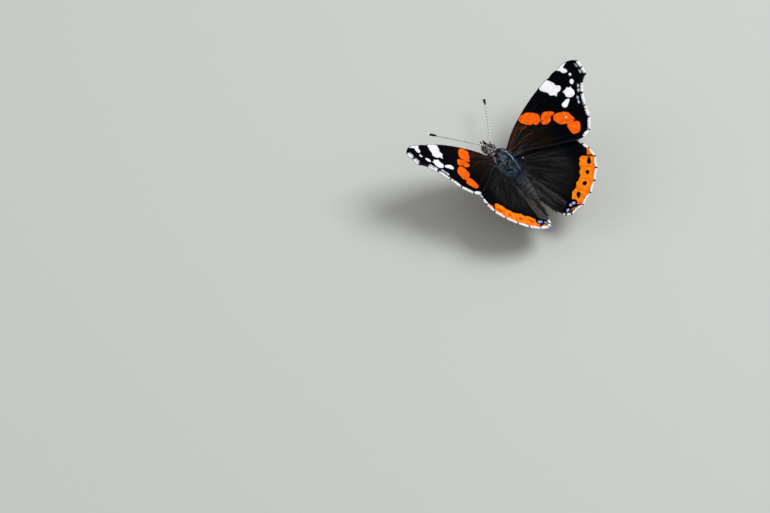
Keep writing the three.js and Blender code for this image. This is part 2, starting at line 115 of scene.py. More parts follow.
# Each vein: name, path in the wing's plane, and for a branch its parent and the row it leaves at
FORE_VEINS = [
    ("front", [(0, 0.6), (3.9, 5.1), (9.0, 9.2), (14.6, 12.8)]),
    ("subcosta", [(0.1, 0.3), (4.6, 4.7), (9.6, 8.7), (15.9, 13.4)]),
    ("radius1", [(13.8, 11.0), (18.6, 14.5)], "radius", 4),
    ("radius2", [(16.4, 12.2), (21.4, 15.7)], "radius", 5),
    ("radius3", [(20.6, 14.3), (24.8, 16.85)], "radius", 7),
    ("radius4", [(24.5, 14.9), (27.55, 16.05)], "radius", 9),
    ("radius", [(0.2, 0.0), (5.6, 4.3), (11.2, 8.3), (17.4, 11.9), (23.0, 13.8), (28.2, 13.7)]),
    ("media1", [(18.5, 10.9), (24.0, 12.0), (28.4, 11.3)], "radius", 5),
    ("media2", [(18.0, 8.9), (22.6, 9.8), (26.5, 9.4)], "media1", 6),
    ("media3", [(16.6, 6.3), (20.8, 7.2), (25.3, 6.7)], "cubitus", 6),
    ("cubitus", [(0.3, -0.4), (4.2, 1.0), (8.2, 2.5), (11.9, 4.0), (19.0, 4.3), (24.5, 3.1)]),
    ("cubitus2", [(14.0, 1.9), (18.6, 1.1), (24.2, -0.5)], "cubitus", 4),
    ("anal", [(0.4, -0.9), (6.0, -0.9), (12.0, -1.9), (22.6, -4.0)]),
    ("rear", [(0.5, -1.3), (5.0, -1.9), (12.0, -3.6), (20.2, -5.4)]),
]
HIND_VEINS = [
    ("front", [(0, 0.5), (4.5, 3.2), (9.5, 3.7), (14.5, 2.5), (18.2, 0.4)]),
    ("subcosta", [(0.1, 0.1), (5.0, 1.3), (10.5, 1.9), (15.5, 1.0), (19.5, -1.1)]),
    ("radius", [(0.15, -0.2), (4.2, -0.5), (8.6, -1.3), (14.5, -1.6), (20.8, -2.9)]),
    ("media1", [(14.0, -3.9), (18.8, -5.0), (21.7, -5.8)], "radius", 4),
    ("media2", [(14.5, -6.3), (18.4, -7.9), (21.0, -9.2)], "media1", 5),
    ("media3", [(13.4, -8.8), (16.9, -10.9), (19.4, -12.7)], "cubitus", 5),
    ("cubitus", [(0.2, -0.5), (4.0, -3.2), (8.0, -7.0), (12.0, -10.8), (17.3, -15.6)]),
    ("cubitus2", [(9.2, -11.4), (14.3, -18.2)], "cubitus", 4),
    ("anal", [(0.25, -0.7), (3.3, -4.2), (5.0, -8.6), (7.0, -13.2), (10.6, -19.8)]),
    ("anal3", [(0.3, -0.9), (2.8, -4.4), (3.5, -8.2), (5.3, -12.9), (8.9, -19.5)]),
]
HIND_INNER = {
    "left": [(0.35, -1.1), (1.2, -3.7), (1.7, -6.9), (2.4, -10.2), (3.1, -12.6), (3.8, -13.9), (4.2, -14.8),
             (5.4, -15.9), (6.2, -17.3), (7.2, -18.6)],
    "right": [(0.35, -1.1), (1.2, -3.7), (1.9, -7.0), (3.1, -10.8), (4.5, -13.0), (5.6, -14.6), (6.7, -16.4),
              (8.0, -18.8)],
}

# Marks in a wing's plane, each a closed curve through a few points
FORE_MARKS = {
    "white": [
        [(15.2, 12.4), (15.4, 13.2), (16.3, 13.9), (17.5, 14.4), (18.4, 13.6), (19.2, 12.5), (19.5, 11.7),
         (20.4, 11.0), (20.1, 10.0), (18.9, 9.5), (18.35, 8.7), (18.1, 9.2), (17.0, 9.7), (16.7, 10.7),
         (15.7, 11.6)],
        [(21.3, 15.5), (21.6, 16.4), (23.1, 17.0), (24.9, 17.4), (24.7, 16.7), (23.6, 15.9), (23.2, 15.3),
         (23.7, 14.9), (23.8, 14.0), (23.1, 13.9), (22.5, 14.2), (22.1, 15.0)],
        [(24.0, 13.4), (24.4, 13.3), (24.4, 12.7), (24.0, 12.5), (23.8, 12.9)],
        [(23.9, 11.6), (24.2, 11.1), (24.0, 10.4), (23.4, 10.1), (23.1, 10.9), (23.4, 11.4)],
        [(20.4, 9.2), (21.1, 9.4), (21.8, 9.9), (22.3, 9.6), (22.9, 9.7), (22.8, 9.2), (23.1, 8.6),
         (23.0, 7.5), (22.4, 6.9), (21.2, 7.0), (20.6, 7.7), (20.6, 8.6)],
        [(21.1, 6.5), (20.4, 5.6), (19.6, 4.8), (18.9, 4.9), (18.6, 5.4), (18.7, 6.0), (19.4, 6.4),
         (20.4, 6.8)],
    ],
    "orange": [
        [(6.7, 7.0), (7.4, 7.9), (8.4, 8.1), (9.4, 8.0), (10.7, 7.4), (12.0, 6.1), (11.85, 4.8), (11.1, 3.9),
         (10.2, 3.8), (9.7, 4.5), (9.2, 4.4), (8.3, 4.9), (7.1, 5.9)],
        [(12.3, 5.0), (13.2, 6.1), (14.6, 5.8), (15.9, 4.8), (15.5, 4.3), (14.7, 4.2), (14.2, 3.2),
         (12.9, 2.7), (12.0, 3.0), (11.8, 4.0)],
        [(15.0, 3.2), (15.8, 4.2), (17.0, 4.2), (19.1, 3.4), (19.6, 2.2), (20.0, 0.7), (19.2, 0.4),
         (17.5, 0.5), (16.0, 1.1)],
        [(17.6, 0.0), (19.6, 0.1), (20.7, -0.4), (20.5, -1.8), (19.8, -3.0), (18.1, -3.1), (17.6, -1.9)],
    ],
    "pale": [
        [(26.4, 15.5), (26.7, 15.0), (26.8, 14.4), (26.6, 14.1), (26.4, 14.7)],
        [(26.7, 13.3), (27.1, 12.8), (27.0, 12.2), (26.7, 12.1), (26.6, 12.8)],
        [(24.7, 9.6), (25.0, 9.4), (24.8, 8.7), (24.4, 8.6)],
        [(24.4, 8.4), (24.6, 7.9), (24.1, 7.3), (23.9, 7.8)],
        [(23.3, 6.6), (23.5, 6.2), (23.3, 5.5), (22.9, 5.8)],
        [(23.0, 5.3), (23.2, 4.9), (23.0, 4.2), (22.7, 4.6)],
    ],
}
HIND_MARKS = {
    "orange": [
        [(19.9, -2.7), (20.4, -3.0), (20.7, -3.6), (21.0, -4.4), (21.3, -5.3), (20.3, -5.0), (19.4, -4.8),
         (19.6, -3.9)],
        [(18.0, -4.7), (19.3, -5.0), (20.9, -5.8), (20.6, -7.4), (20.1, -9.2), (19.4, -10.9),
         (18.8, -12.4), (17.3, -14.0), (16.6, -15.3), (15.0, -16.3), (14.1, -17.6), (12.8, -17.3),
         (12.1, -16.4), (11.9, -15.4), (12.2, -14.6), (12.6, -13.5), (13.4, -13.0), (14.1, -12.3),
         (14.3, -11.5), (15.0, -11.1), (15.5, -10.4), (16.0, -9.7), (16.0, -8.8), (16.6, -7.9),
         (16.6, -6.8), (17.0, -5.9), (17.2, -5.1)],
        [(10.2, -18.6), (11.3, -18.0), (12.6, -17.9), (13.8, -18.1), (13.2, -18.2), (12.2, -18.15),
         (11.3, -18.25)],
    ],
    "black": [
        [(9.2, -17.3), (10.6, -15.7), (11.6, -15.5), (12.8, -15.9), (12.9, -16.9), (11.4, -17.6),
         (10.3, -18.2), (9.8, -18.8), (8.9, -19.4), (8.2, -18.9), (8.6, -17.9)],
        [(12.1, -17.6), (13.5, -17.4), (14.5, -18.3), (13.4, -17.8)],
        [(18.5, -4.3), (19.5, -4.8), (21.3, -5.4), (21.3, -5.7), (19.3, -5.1), (18.5, -4.8)],
    ],
    "spots": [
        [(19.6, -5.3), (19.1, -6.1), (18.7, -6.8), (19.0, -7.5), (19.6, -7.3), (19.8, -6.5)],
        [(17.8, -8.9), (18.4, -9.1), (18.4, -9.7), (17.8, -10.1), (17.5, -9.5)],
        [(16.4, -11.7), (17.0, -12.3), (16.2, -12.9), (15.7, -12.3)],
        [(13.9, -14.0), (14.5, -14.4), (14.2, -15.1), (13.6, -15.7), (13.4, -14.5)],
    ],
    "blue": [
        [(11.5, -16.3), (12.1, -16.2), (12.5, -16.5), (12.2, -17.1), (11.7, -17.0)],
        [(10.7, -16.6), (11.1, -16.5), (11.5, -16.8), (11.2, -17.4), (10.7, -17.1)],
        [(9.5, -18.0), (10.0, -17.6), (10.5, -17.7), (10.1, -18.3), (9.5, -18.5)],
    ],
}
# A rusty line in the fore wing's cell
RUST_LINE = [(1.0, 0.0), (1.9, 0.3), (4.7, 1.4), (7.4, 2.2), (9.2, 2.1)]
# A white speck in the fore wing's orange band, and another near the root of the hind wing
SPECKS = {"fore_wing": {"at": (18.2, 2.2), "radius": 0.24}, "hind_wing": {"at": (3.2, 0.2), "radius": 0.28}}
SPECK_SIDE = "right"
DARK_FRINGE = {"at": (27.2, 10.4), "radius": 1.3}  # where the fore wing's fringe stays dark
# How much larger the left fore wing's marks are than the right one's, and how strong its rusty tint is
# against the right one's
LEFT_FORE_GROWTH = {"white": 0.06, "pale": 0.12}
LEFT_FORE_RUST = 0.6
# How strong the tint of the rusty hair on the fore wings is, and of the pale hair on the hind wings
RUSTY_HAIR = {"left": 0.45, "right": 0.9}
PALE_HAIR = {"left": 0.6, "right": 0.9}
# Hair off one edge of each wing: how many, length, lean, between which shares of the edge, and which way
# it faces where it doesn't stand on the wing's own face
EDGE_HAIR = {
    "fore_wing": {
        "count": 1300,
        "length": 1.5,
        "lean": (0, 0.5, -2.2),
        "stretch": (0.0, 0.34),
        "facing": (0.0, 1.0, 0.25),
    },
    "hind_wing": {
        "count": 1500,
        "length": 1.9,
        "lean": (-0.6, 0, 0.2),
        "stretch": (0.03, 0.86),
        "facing": None,
    },
}
EDGE_TAN = {"left": 0.7, "right": 0.25}  # how tan the hair on the hind wing's inner edge is

# Trunk: the skin under the coat, each station [y, half width, half height, height of the centre]
SKIN = [
    (-7.44, 0.2, 0.2, -0.6),
    (-7.3, 0.68, 0.7, -0.57),
    (-6.95, 1.02, 1.05, -0.45),
    (-6.4, 1.2, 1.22, -0.36),
    (-5.85, 1.32, 1.26, -0.3),
    (-5.5, 1.42, 1.32, -0.26),
    (-5.2, 1.46, 1.36, -0.22),
    (-4.85, 1.62, 1.5, -0.14),
    (-4.3, 2.0, 1.88, -0.03),
    (-3.4, 2.45, 2.25, 0.03),
    (-1.8, 2.74, 2.4, 0.05),
    (0.0, 2.64, 2.35, 0.1),
    (1.5, 2.34, 2.1, 0.2),
    (2.9, 1.92, 1.78, 0.35),
    (3.9, 1.52, 1.42, 0.48),
    (4.45, 1.3, 1.22, 0.5),
]
SKIN_SIDES = 72
SKIN_ROWS = (170, 150)  # rows of points on thorax and head, and on the abdomen
THORAX_HAIRS = 11800
SHOULDER_HAIRS = 2800
ABDOMEN_SCALE_COUNT = 12500
ABDOMEN_SIDE_HAIRS = 1100
HEAD_HAIRS = 5200
NAPE_HAIRS = 1100
SPECK_SCALES = 26  # how many scales make a speck
EYE_RIM_SCALES = 230
TRUNK_SEED = 5
HEAD_SEED = 6
TRUNK_TINTS = ("speckled", "dark", "bright")
BAKE_REACH = (-7.6, 14.0)  # what of the trunk its map takes in, head to tail
BAKE_BORDER = 0.02  # how much of the map's border stays empty
BACKWARD = np.array([[0.0, 1.0, 0.0]])
# Strokes of hair on the thorax, each from one place to another: the dark ones paint shade in the partings of
# the coat, the light ones paint highlights. A place says how far back along the body, and how far across the
# view
SHADE_STROKES = [
    ((-1.5, -0.9), (-0.9, -1.05)),
    ((-0.9, -1.05), (0.1, -1.05)),
    ((-1.1, -0.4), (-0.5, -0.45)),
    ((0.55, 1.25), (1.2, 0.4)),
    ((0.6, -0.85), (1.1, -1.15)),
    ((-0.7, -2.4), (0.45, -2.1)),
    ((1.0, -1.45), (1.55, -1.1)),
    ((2.2, -0.6), (3.0, 0.35)),
    ((2.3, -1.35), (3.0, -1.05)),
    ((-1.05, -1.5), (-0.3, -2.0)),
    ((-2.1, 2.5), (-0.9, 2.5)),
]
GLEAM_STROKES = [
    ((0.65, 1.45), (1.5, 0.7)),
    ((0.35, 0.8), (0.7, 0.2)),
    ((-0.4, -1.7), (0.7, -1.9)),
    ((2.65, -0.65), (3.5, -0.05)),
    ((2.0, 0.7), (2.7, 0.4)),
    ((-2.9, 2.3), (-2.1, 2.5)),
]
# How many hairs each kind of stroke has, how far they stray from it, and their tint: painted shade for the
# dark strokes, painted highlights and sheen for the others
SHADE_STROKE = {"count": 120, "scatter": 0.09, "dark": 1.0}
GLEAM_STROKE = {"count": 50, "scatter": 0.06, "bright": 0.22}
SHEEN_STROKE = {"count": 330, "scatter": 0.025, "bright": 0.85}
FAINT_SHEEN_STROKE = {"count": 200, "scatter": 0.12, "bright": 0.16}
# Specks of white and black scales on the head and shoulders, in the same way
WHITE_SPECKS = [(-6.9, 0.3), (-6.75, 0.85), (-6.55, -0.1), (-6.0, 0.1), (-4.3, 0.5), (-4.7, 1.5),
                (-5.85, -0.65), (-5.55, -1.0), (-4.75, -0.1), (-3.5, -0.1), (-3.35, -1.6), (-2.3, -1.45),
                (-1.6, -1.25), (-1.5, -2.2), (-0.8, -2.1), (-0.25, -2.4)]
BLACK_SPECKS = [(-6.95, -0.1), (-6.3, 0.4), (-6.1, 1.05), (-6.0, -0.25), (-5.25, -1.0), (-4.15, -1.4),
                (-4.2, -0.95), (-2.85, -1.75), (-2.05, -1.25), (-2.15, -1.75), (-3.75, 0.8),
                (-1.4, -1.85)]
# A painted highlight: a streak of sheen down the right shoulder and flank, each place how far back and how
# far across the view
SHEEN_FADE = 175  # where on the painted streak of sheen, of 300, it grows faint
SHEEN_LINE = [(-2.7, 2.02), (-1.7, 2.2), (-0.8, 2.29), (0.0, 2.26), (0.8, 2.13), (2.0, 1.98), (3.6, 1.7)]
ACROSS = np.array([-0.83, 0.0, 0.56])  # the direction across the view
ABDOMEN_FRONT = 4.6
ABDOMEN_TIP = 13.65
ABDOMEN_RINGS = 7
RING_STEP = 0.07
ABDOMEN_RADIUS = 1.8
ABDOMEN_AXIS = (0.5, -0.55)

EYE_CENTRE = (1.14, -6.5, -0.32)
EYE_RADII = (0.73, 0.86, 0.97)
EYE_ROWS = 40
EYE_SIDES = 56
SHELL_SIDES = 14  # sides of feelers, tongue and legs
FEELER_ROOT = (0.48, -7.0, 0.68)
FEELER_TIP = {"left": (10.3, -19.6, -1.45), "right": (10.5, -20.8, -0.95)}
FEELER_BOW = {"left": (0.4, -0.2, 0.6), "right": (1.0, 0.5, -0.1)}
FEELER_RADIUS = 0.26
CLUB_RADIUS = 0.37
CLUB_LENGTH = 2.6
FEELER_RINGS = 32
FEELER_ROWS = 241
PALP = [(0.58, -7.1, -1.25), (0.56, -8.3, -0.95), (0.42, -9.6, -0.42)]
PALP_RADII = (0.38, 0.38, 0.12)
PALP_SIDES = 18
PALP_SCALES = 1500
PALP_SEED = 31
TONGUE = {"centre": (0, -7.45, -2.3), "outer": 0.84, "inner": 0.22, "turns": 2.1, "radius": 0.15}
TONGUE_ROWS = 150

# Legs: joints from the thorax to the tip of the foot, with the radius at each
FORE_LEG = [(1.0, -4.1, -2.2), (1.7, -5.7, -2.9), (1.3, -7.0, -3.35), (1.0, -8.1, -3.5)]
MID_LEG = [(1.25, -2.5, -2.6), (4.9, -3.6, -2.5), (6.5, -5.0, -6.2), (7.1, -5.9, -6.98), (7.6, -7.4, -6.98)]
HIND_LEG = [(1.25, 0.9, -2.55), (4.6, 4.0, -3.1), (5.9, 7.4, -6.2), (6.3, 8.6, -6.98), (6.6, 9.8, -6.98)]
FORE_RADII = (0.34, 0.24, 0.2, 0.1)
LEG_RADII = (0.42, 0.26, 0.17, 0.14, 0.11)
FOOT_PARTS = 5
LEG_SEED = 41
LEG_SCALE_COUNTS = {"walking": 2400, "folded": 2000}
SHIN_SPINES = (14, 0.2, 0.3)  # how many pairs, how far out they stand, and their length
FOOT_SPINES = (5, 0.12, 0.16)
# Style, knot, stretch, how far back from the knot, length, lift, and where on the leg its colour is from
SPURS = [("spur", 2, 1, 0.1, 0.75, 0.5, 8.0), ("claw", -1, -1, 0.05, 0.34, 0.45, 3.0)]

# Tufts: width, rings of points, depth against width, how much they stray, and how clumps gather them
PLAIN_TUFT = {"rings": 3, "thin": 0.45, "stray": 0.2, "clumps": 0, "gather": 0.0}
TUFTS = {
    "wing": {"width": 0.028, "stray": 0.06},
    "wing_edge": {"width": 0.03, "stray": 0.12},
    "fringe": {"width": 0.06, "rings": 2, "thin": 0.35, "stray": 0.1},
    "thorax": {"width": 0.04, "stray": 0.16, "clumps": 220, "gather": 0.85},
    "shoulder": {"width": 0.036, "stray": 0.25, "clumps": 150, "gather": 0.3},
    "stroke": {"width": 0.05, "rings": 2, "stray": 0.04},
    "abdomen": {"width": 0.05, "rings": 2, "thin": 0.3, "stray": 0.16, "clumps": 1500, "gather": 0.3},
    "abdomen_side": {"width": 0.034, "rings": 2, "clumps": 110, "gather": 0.3},
    "head": {"width": 0.038, "rings": 2, "thin": 0.5, "clumps": 190, "gather": 0.8},
    "nape": {"width": 0.045, "rings": 2, "clumps": 130, "gather": 0.7},
    "speck": {"width": 0.04, "rings": 2, "thin": 0.5},
    "eye_rim": {"width": 0.04, "rings": 2, "thin": 0.5, "stray": 0.3},
    "palp": {"width": 0.032, "rings": 2, "thin": 0.5},
    "leg": {"width": 0.03, "rings": 2, "thin": 0.4},
    "spine": {"width": 0.025, "rings": 2, "thin": 1.0, "stray": 0.05},
    "spur": {"width": 0.05, "thin": 1.0, "stray": 0.0},
    "claw": {"width": 0.045, "thin": 1.0, "stray": 0.0},
}
TUFT_SINK = 0.03  # how far a tuft's foot stands in the skin
BAKE_TUFT = 0.0015  # half the size of a tuft on its coat's map

# Colours as they look on screen
BLACK = (2, 4, 8)
SOOT = (20, 14, 8)
RUST = (122, 58, 28)
WHITE = (243, 244, 247)
LILAC = (176, 182, 226)
BLUE = (112, 132, 236)
ORANGE_RED = (247, 84, 14)
ORANGE = (250, 120, 16)
AMBER = (252, 150, 20)
GREY_BROWN = (64, 61, 60)
WING_SCALE = (9.0, 6.0, 1.0)  # scales to the unit round the wing's fan and along it
MARBLING = [(0.36, (30, 22, 20)), (0.47, (84, 60, 44)), (0.56, (132, 104, 80)), (0.68, (176, 158, 136))]
# Colours along the trunk, from the face at 0 to the abdomen's tip at 1
TRUNK_RAMP = [
    (0.0, (98, 82, 88)),
    (0.15, (88, 104, 116)),
    (0.35, (70, 82, 88)),
    (0.5, (70, 86, 96)),
    (0.57, (52, 64, 80)),
    (0.7, (62, 69, 79)),
    (0.85, (82, 81, 84)),
    (1.0, (92, 86, 82)),
]

# The photograph's view: the picture's right, up and toward the viewer
VIEW = Matrix(((-0.7479, -0.4136, 0.5192), (0.6334, -0.6788, 0.3717), (0.1987, 0.6068, 0.7696)))
VIEW_CENTRE = (-31.48, -23.72)  # the picture's middle from the body's origin, right and up
VIEW_WIDTH = 200.7
VIEW_DISTANCE = 2000.0
SENSOR = 36.0
FLOOR_TINT = (190, 193, 189)
FLOOR_REACH = 6.0
WORLD_LIGHT = 0.45
# Lamps: direction, distance, size and power
LAMPS = {
    "key": ((-0.45, 0.1, 1.0), 0.9, 0.5, 6.0),
    "fill": ((0.9, -0.5, 0.7), 1.1, 0.7, 2.4),
}


# Small helpers


def colour(levels):
    """A colour given as it looks on screen, in the form that materials take."""
    shares = [level / 255 for level in levels]
    linear = [share / 12.92 if share <= 0.04045 else ((share + 0.055) / 1.055) ** 2.4 for share in shares]
    return (*linear, 1.0)


def smoothstep(value, low, high):
    share = np.clip((value - low) / (high - low), 0, 1)
    return share * share * (3 - 2 * share)


def fade(value, low, high):
    return 1 - smoothstep(value, low, high)


def window(value, rise, fall):
    """1 between two smooth steps, each given by where it starts and where it ends."""
    return smoothstep(value, *rise) * fade(value, *fall)


def bell(value, middle, width):
    return np.exp(-((value - middle) / width) ** 2)


def unit(vectors):
    return vectors / np.maximum(np.linalg.norm(vectors, axis=-1, keepdims=True), 1e-9)


def curve_points(path, count=200, closed=False):
    """A smooth centripetal curve through a path's points, sampled evenly in its parameter."""
    path = np.array(path, float)
    if closed:
        path = np.vstack([path[-1], path, path[:2]])
    else:
        path = np.vstack([2 * path[0] - path[1], path, 2 * path[-1] - path[-2]])
    spans = len(path) - 3
    places = np.linspace(0, spans, count)
    first = np.minimum(places.astype(int), spans - 1)
    share = (places - first)[:, None]
    a, b, c, d = (path[first + step] for step in range(4))
    steps = [np.sqrt(np.linalg.norm(q - p, axis=1, keepdims=True)) for p, q in ((a, b), (b, c), (c, d))]
    one = ((b - a) / steps[0] - (c - a) / (steps[0] + steps[1]) + (c - b) / steps[1]) * steps[1]
    two = ((c - b) / steps[1] - (d - b) / (steps[1] + steps[2]) + (d - c) / steps[2]) * steps[1]
    bend = -3 * b + 3 * c - 2 * one - two
    twist = 2 * b - 2 * c + one + two
    return b + one * share + bend * share**2 + twist * share**3


def travelled(points):
    """How far along a line each of its points is."""
    return np.concatenate([[0], np.cumsum(np.linalg.norm(np.diff(points, axis=0), axis=1))])


def at_lengths(points, wanted):
    """Points of a line at given lengths along it."""
    lengths = travelled(points)
    return np.stack([np.interp(wanted, lengths, column) for column in points.T], 1)


def along_curve(points, shares):
    return at_lengths(points, np.clip(shares, 0, 1) * travelled(points)[-1])


def off_line(places, path):
    """How far each place is from a smooth curve through a path."""
    line = curve_points(path, 60)
    return np.min(np.linalg.norm(places[:, None] - line[None], axis=2), axis=1)


def inside_by(outline, places):
    """How far each place lies inside a closed outline, negative outside."""
    points = curve_points(outline, 8 * len(outline) + 1, closed=True)
    best = np.full(len(places), 1e9)
    inside = np.zeros(len(places), bool)
    for a, b in zip(points[:-1], points[1:]):
        run = b - a
        share = np.clip((places - a) @ run / max(run @ run, 1e-12), 0, 1)
        best = np.minimum(best, np.linalg.norm(places - a - share[:, None] * run, axis=1))
        crosses = (a[1] > places[:, 1]) != (b[1] > places[:, 1])
        reach = a[0] + (places[:, 1] - a[1]) * run[0] / (run[1] if run[1] else 1e-12)
        inside ^= crosses & (places[:, 0] < reach)
    return np.where(inside, best, -best)


# Meshes


def build(name, points, faces, materials, side=1, kinds=None, flat=None, values=None, bake_map=None):
    """A mesh object from body-frame points and faces of three or four corners, mirrored for side -1."""
    points = points * np.array([side, 1, 1]) + BODY_ORIGIN
    faces = np.asarray(faces)
    corners = np.where(faces[:, -1:] >= 0, faces.shape[1], 3)[:, 0]
    if side < 0:
        turned = faces[:, ::-1].copy()
        short = corners < faces.shape[1]
        turned[short] = np.hstack([faces[short, 2::-1], faces[short, 3:]])
        faces = turned
    loops = faces[faces >= 0]
    mesh = bpy.data.meshes.new(name)
    mesh.vertices.add(len(points))
    mesh.vertices.foreach_set("co", (points * MM).astype(np.float32).ravel())
    mesh.loops.add(len(loops))
    mesh.loops.foreach_set("vertex_index", loops.astype(np.int32))
    mesh.polygons.add(len(faces))
    mesh.polygons.foreach_set("loop_start", np.concatenate([[0], np.cumsum(corners)[:-1]]).astype(np.int32))
    for material in materials:
        mesh.materials.append(material)
    if kinds is not None:
        mesh.polygons.foreach_set("material_index", kinds.astype(np.int32))
    mesh.update(calc_edges=True)
    mesh.polygons.foreach_set("use_smooth", np.ones(len(faces), bool) if flat is None else ~flat)
    for key, data in (values or {}).items():
        data = np.asarray(data, np.float32)
        kind, slot = ("FLOAT_VECTOR", "vector") if data.ndim == 2 else ("FLOAT", "value")
        mesh.attributes.new(key, kind, "POINT").data.foreach_set(slot, data.ravel())
    if bake_map is not None:
        layer = mesh.uv_layers.new(name="OFBake")
        layer.data.foreach_set("uv", bake_map[loops].astype(np.float32).ravel())
    mesh.validate()
    made = bpy.data.objects.new(name, mesh)
    bpy.context.scene.collection.objects.link(made)
    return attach(made, "root")


def capped(rings):
    """A closed skin over rings of points: its points, its quads and its end triangles."""
    rows, sides = rings.shape[:2]
    points = np.vstack([rings.reshape(-1, 3), rings[0].mean(0), rings[-1].mean(0)])
    around = np.arange(sides)
    following = (around + 1) % sides
    starts = sides * np.arange(rows - 1)[:, None]
    a, b = starts + around, starts + following
    quads = np.stack([a, b, b + sides, a + sides], -1).reshape(-1, 4)
    last = (rows - 1) * sides
    nothing = np.full(sides, -1)
    front = np.stack([following, around, np.full(sides, rows * sides), nothing], 1)
    back = np.stack([last + around, last + following, np.full(sides, rows * sides + 1), nothing], 1)
    faces = np.vstack([quads, front, back])
    corners = points[faces[:, :3]]
    if np.einsum("ij,ij->", corners[:, 0], np.cross(corners[:, 1], corners[:, 2])) < 0:
        faces = np.vstack([quads[:, ::-1], front[:, [1, 0, 2, 3]], back[:, [1, 0, 2, 3]]])
    return points, faces


def per_ring(data, sides):
    """One value for each ring as one for each point of the capped skin over them."""
    return np.append(np.repeat(data, sides), [data[0], data[-1]])


def split(faces):
    """Quads and triangles as triangles alone."""
    four = faces[faces[:, 3] >= 0]
    return np.vstack([faces[:, :3], four[:, [0, 2, 3]]])


def tube(route, radii, sides, squash=1.0):
    """Rings round a route, each radius given, flattened by squash."""
    ahead = unit(np.gradient(route, axis=0))
    across = unit(np.cross([0, 0, 1], ahead[0]))
    angle = 2 * np.pi * np.arange(sides) / sides
    rings = []
    for point, toward, radius in zip(route, ahead, radii):
        across = unit(across - toward * (across @ toward))
        up = np.cross(toward, across)
        offset = np.outer(np.cos(angle), across) + squash * np.outer(np.sin(angle), up)
        rings.append(point + radius * offset)
    return np.array(rings)


def facings(points, triangles):
    """Each triangle's direction, as long as twice its area."""
    corners = points[triangles]
    return np.cross(corners[:, 1] - corners[:, 0], corners[:, 2] - corners[:, 0])


class Surface:
    """Triangles with a direction at each point, for coats to stand on."""

    def __init__(self, points, triangles, normals=None):
        self.points = points
        self.triangles = triangles
        self.facing = facings(points, triangles)
        self.normals = self.point_normals() if normals is None else normals

    def point_normals(self):
        total = np.zeros_like(self.points)
        for corner in range(3):
            np.add.at(total, self.triangles[:, corner], self.facing)
        return unit(total)

    def scatter(self, weights, count, random):
        """Random places, more where weights are higher: the points, their normals and a reader of values."""
        chance = np.linalg.norm(self.facing, axis=1) * np.maximum(weights, 0)[self.triangles].mean(1)
        picks = random.choice(len(self.triangles), count, p=chance / chance.sum())
        one, two = random.random((2, count))
        over = one + two > 1
        one[over], two[over] = 1 - one[over], 1 - two[over]
        corners = self.triangles[picks]
        shares = np.stack([1 - one - two, one, two], 1)

        def read(values):
            return np.einsum("nk,nk...->n...", shares, values[corners])

        return read(self.points), unit(read(self.normals)), read


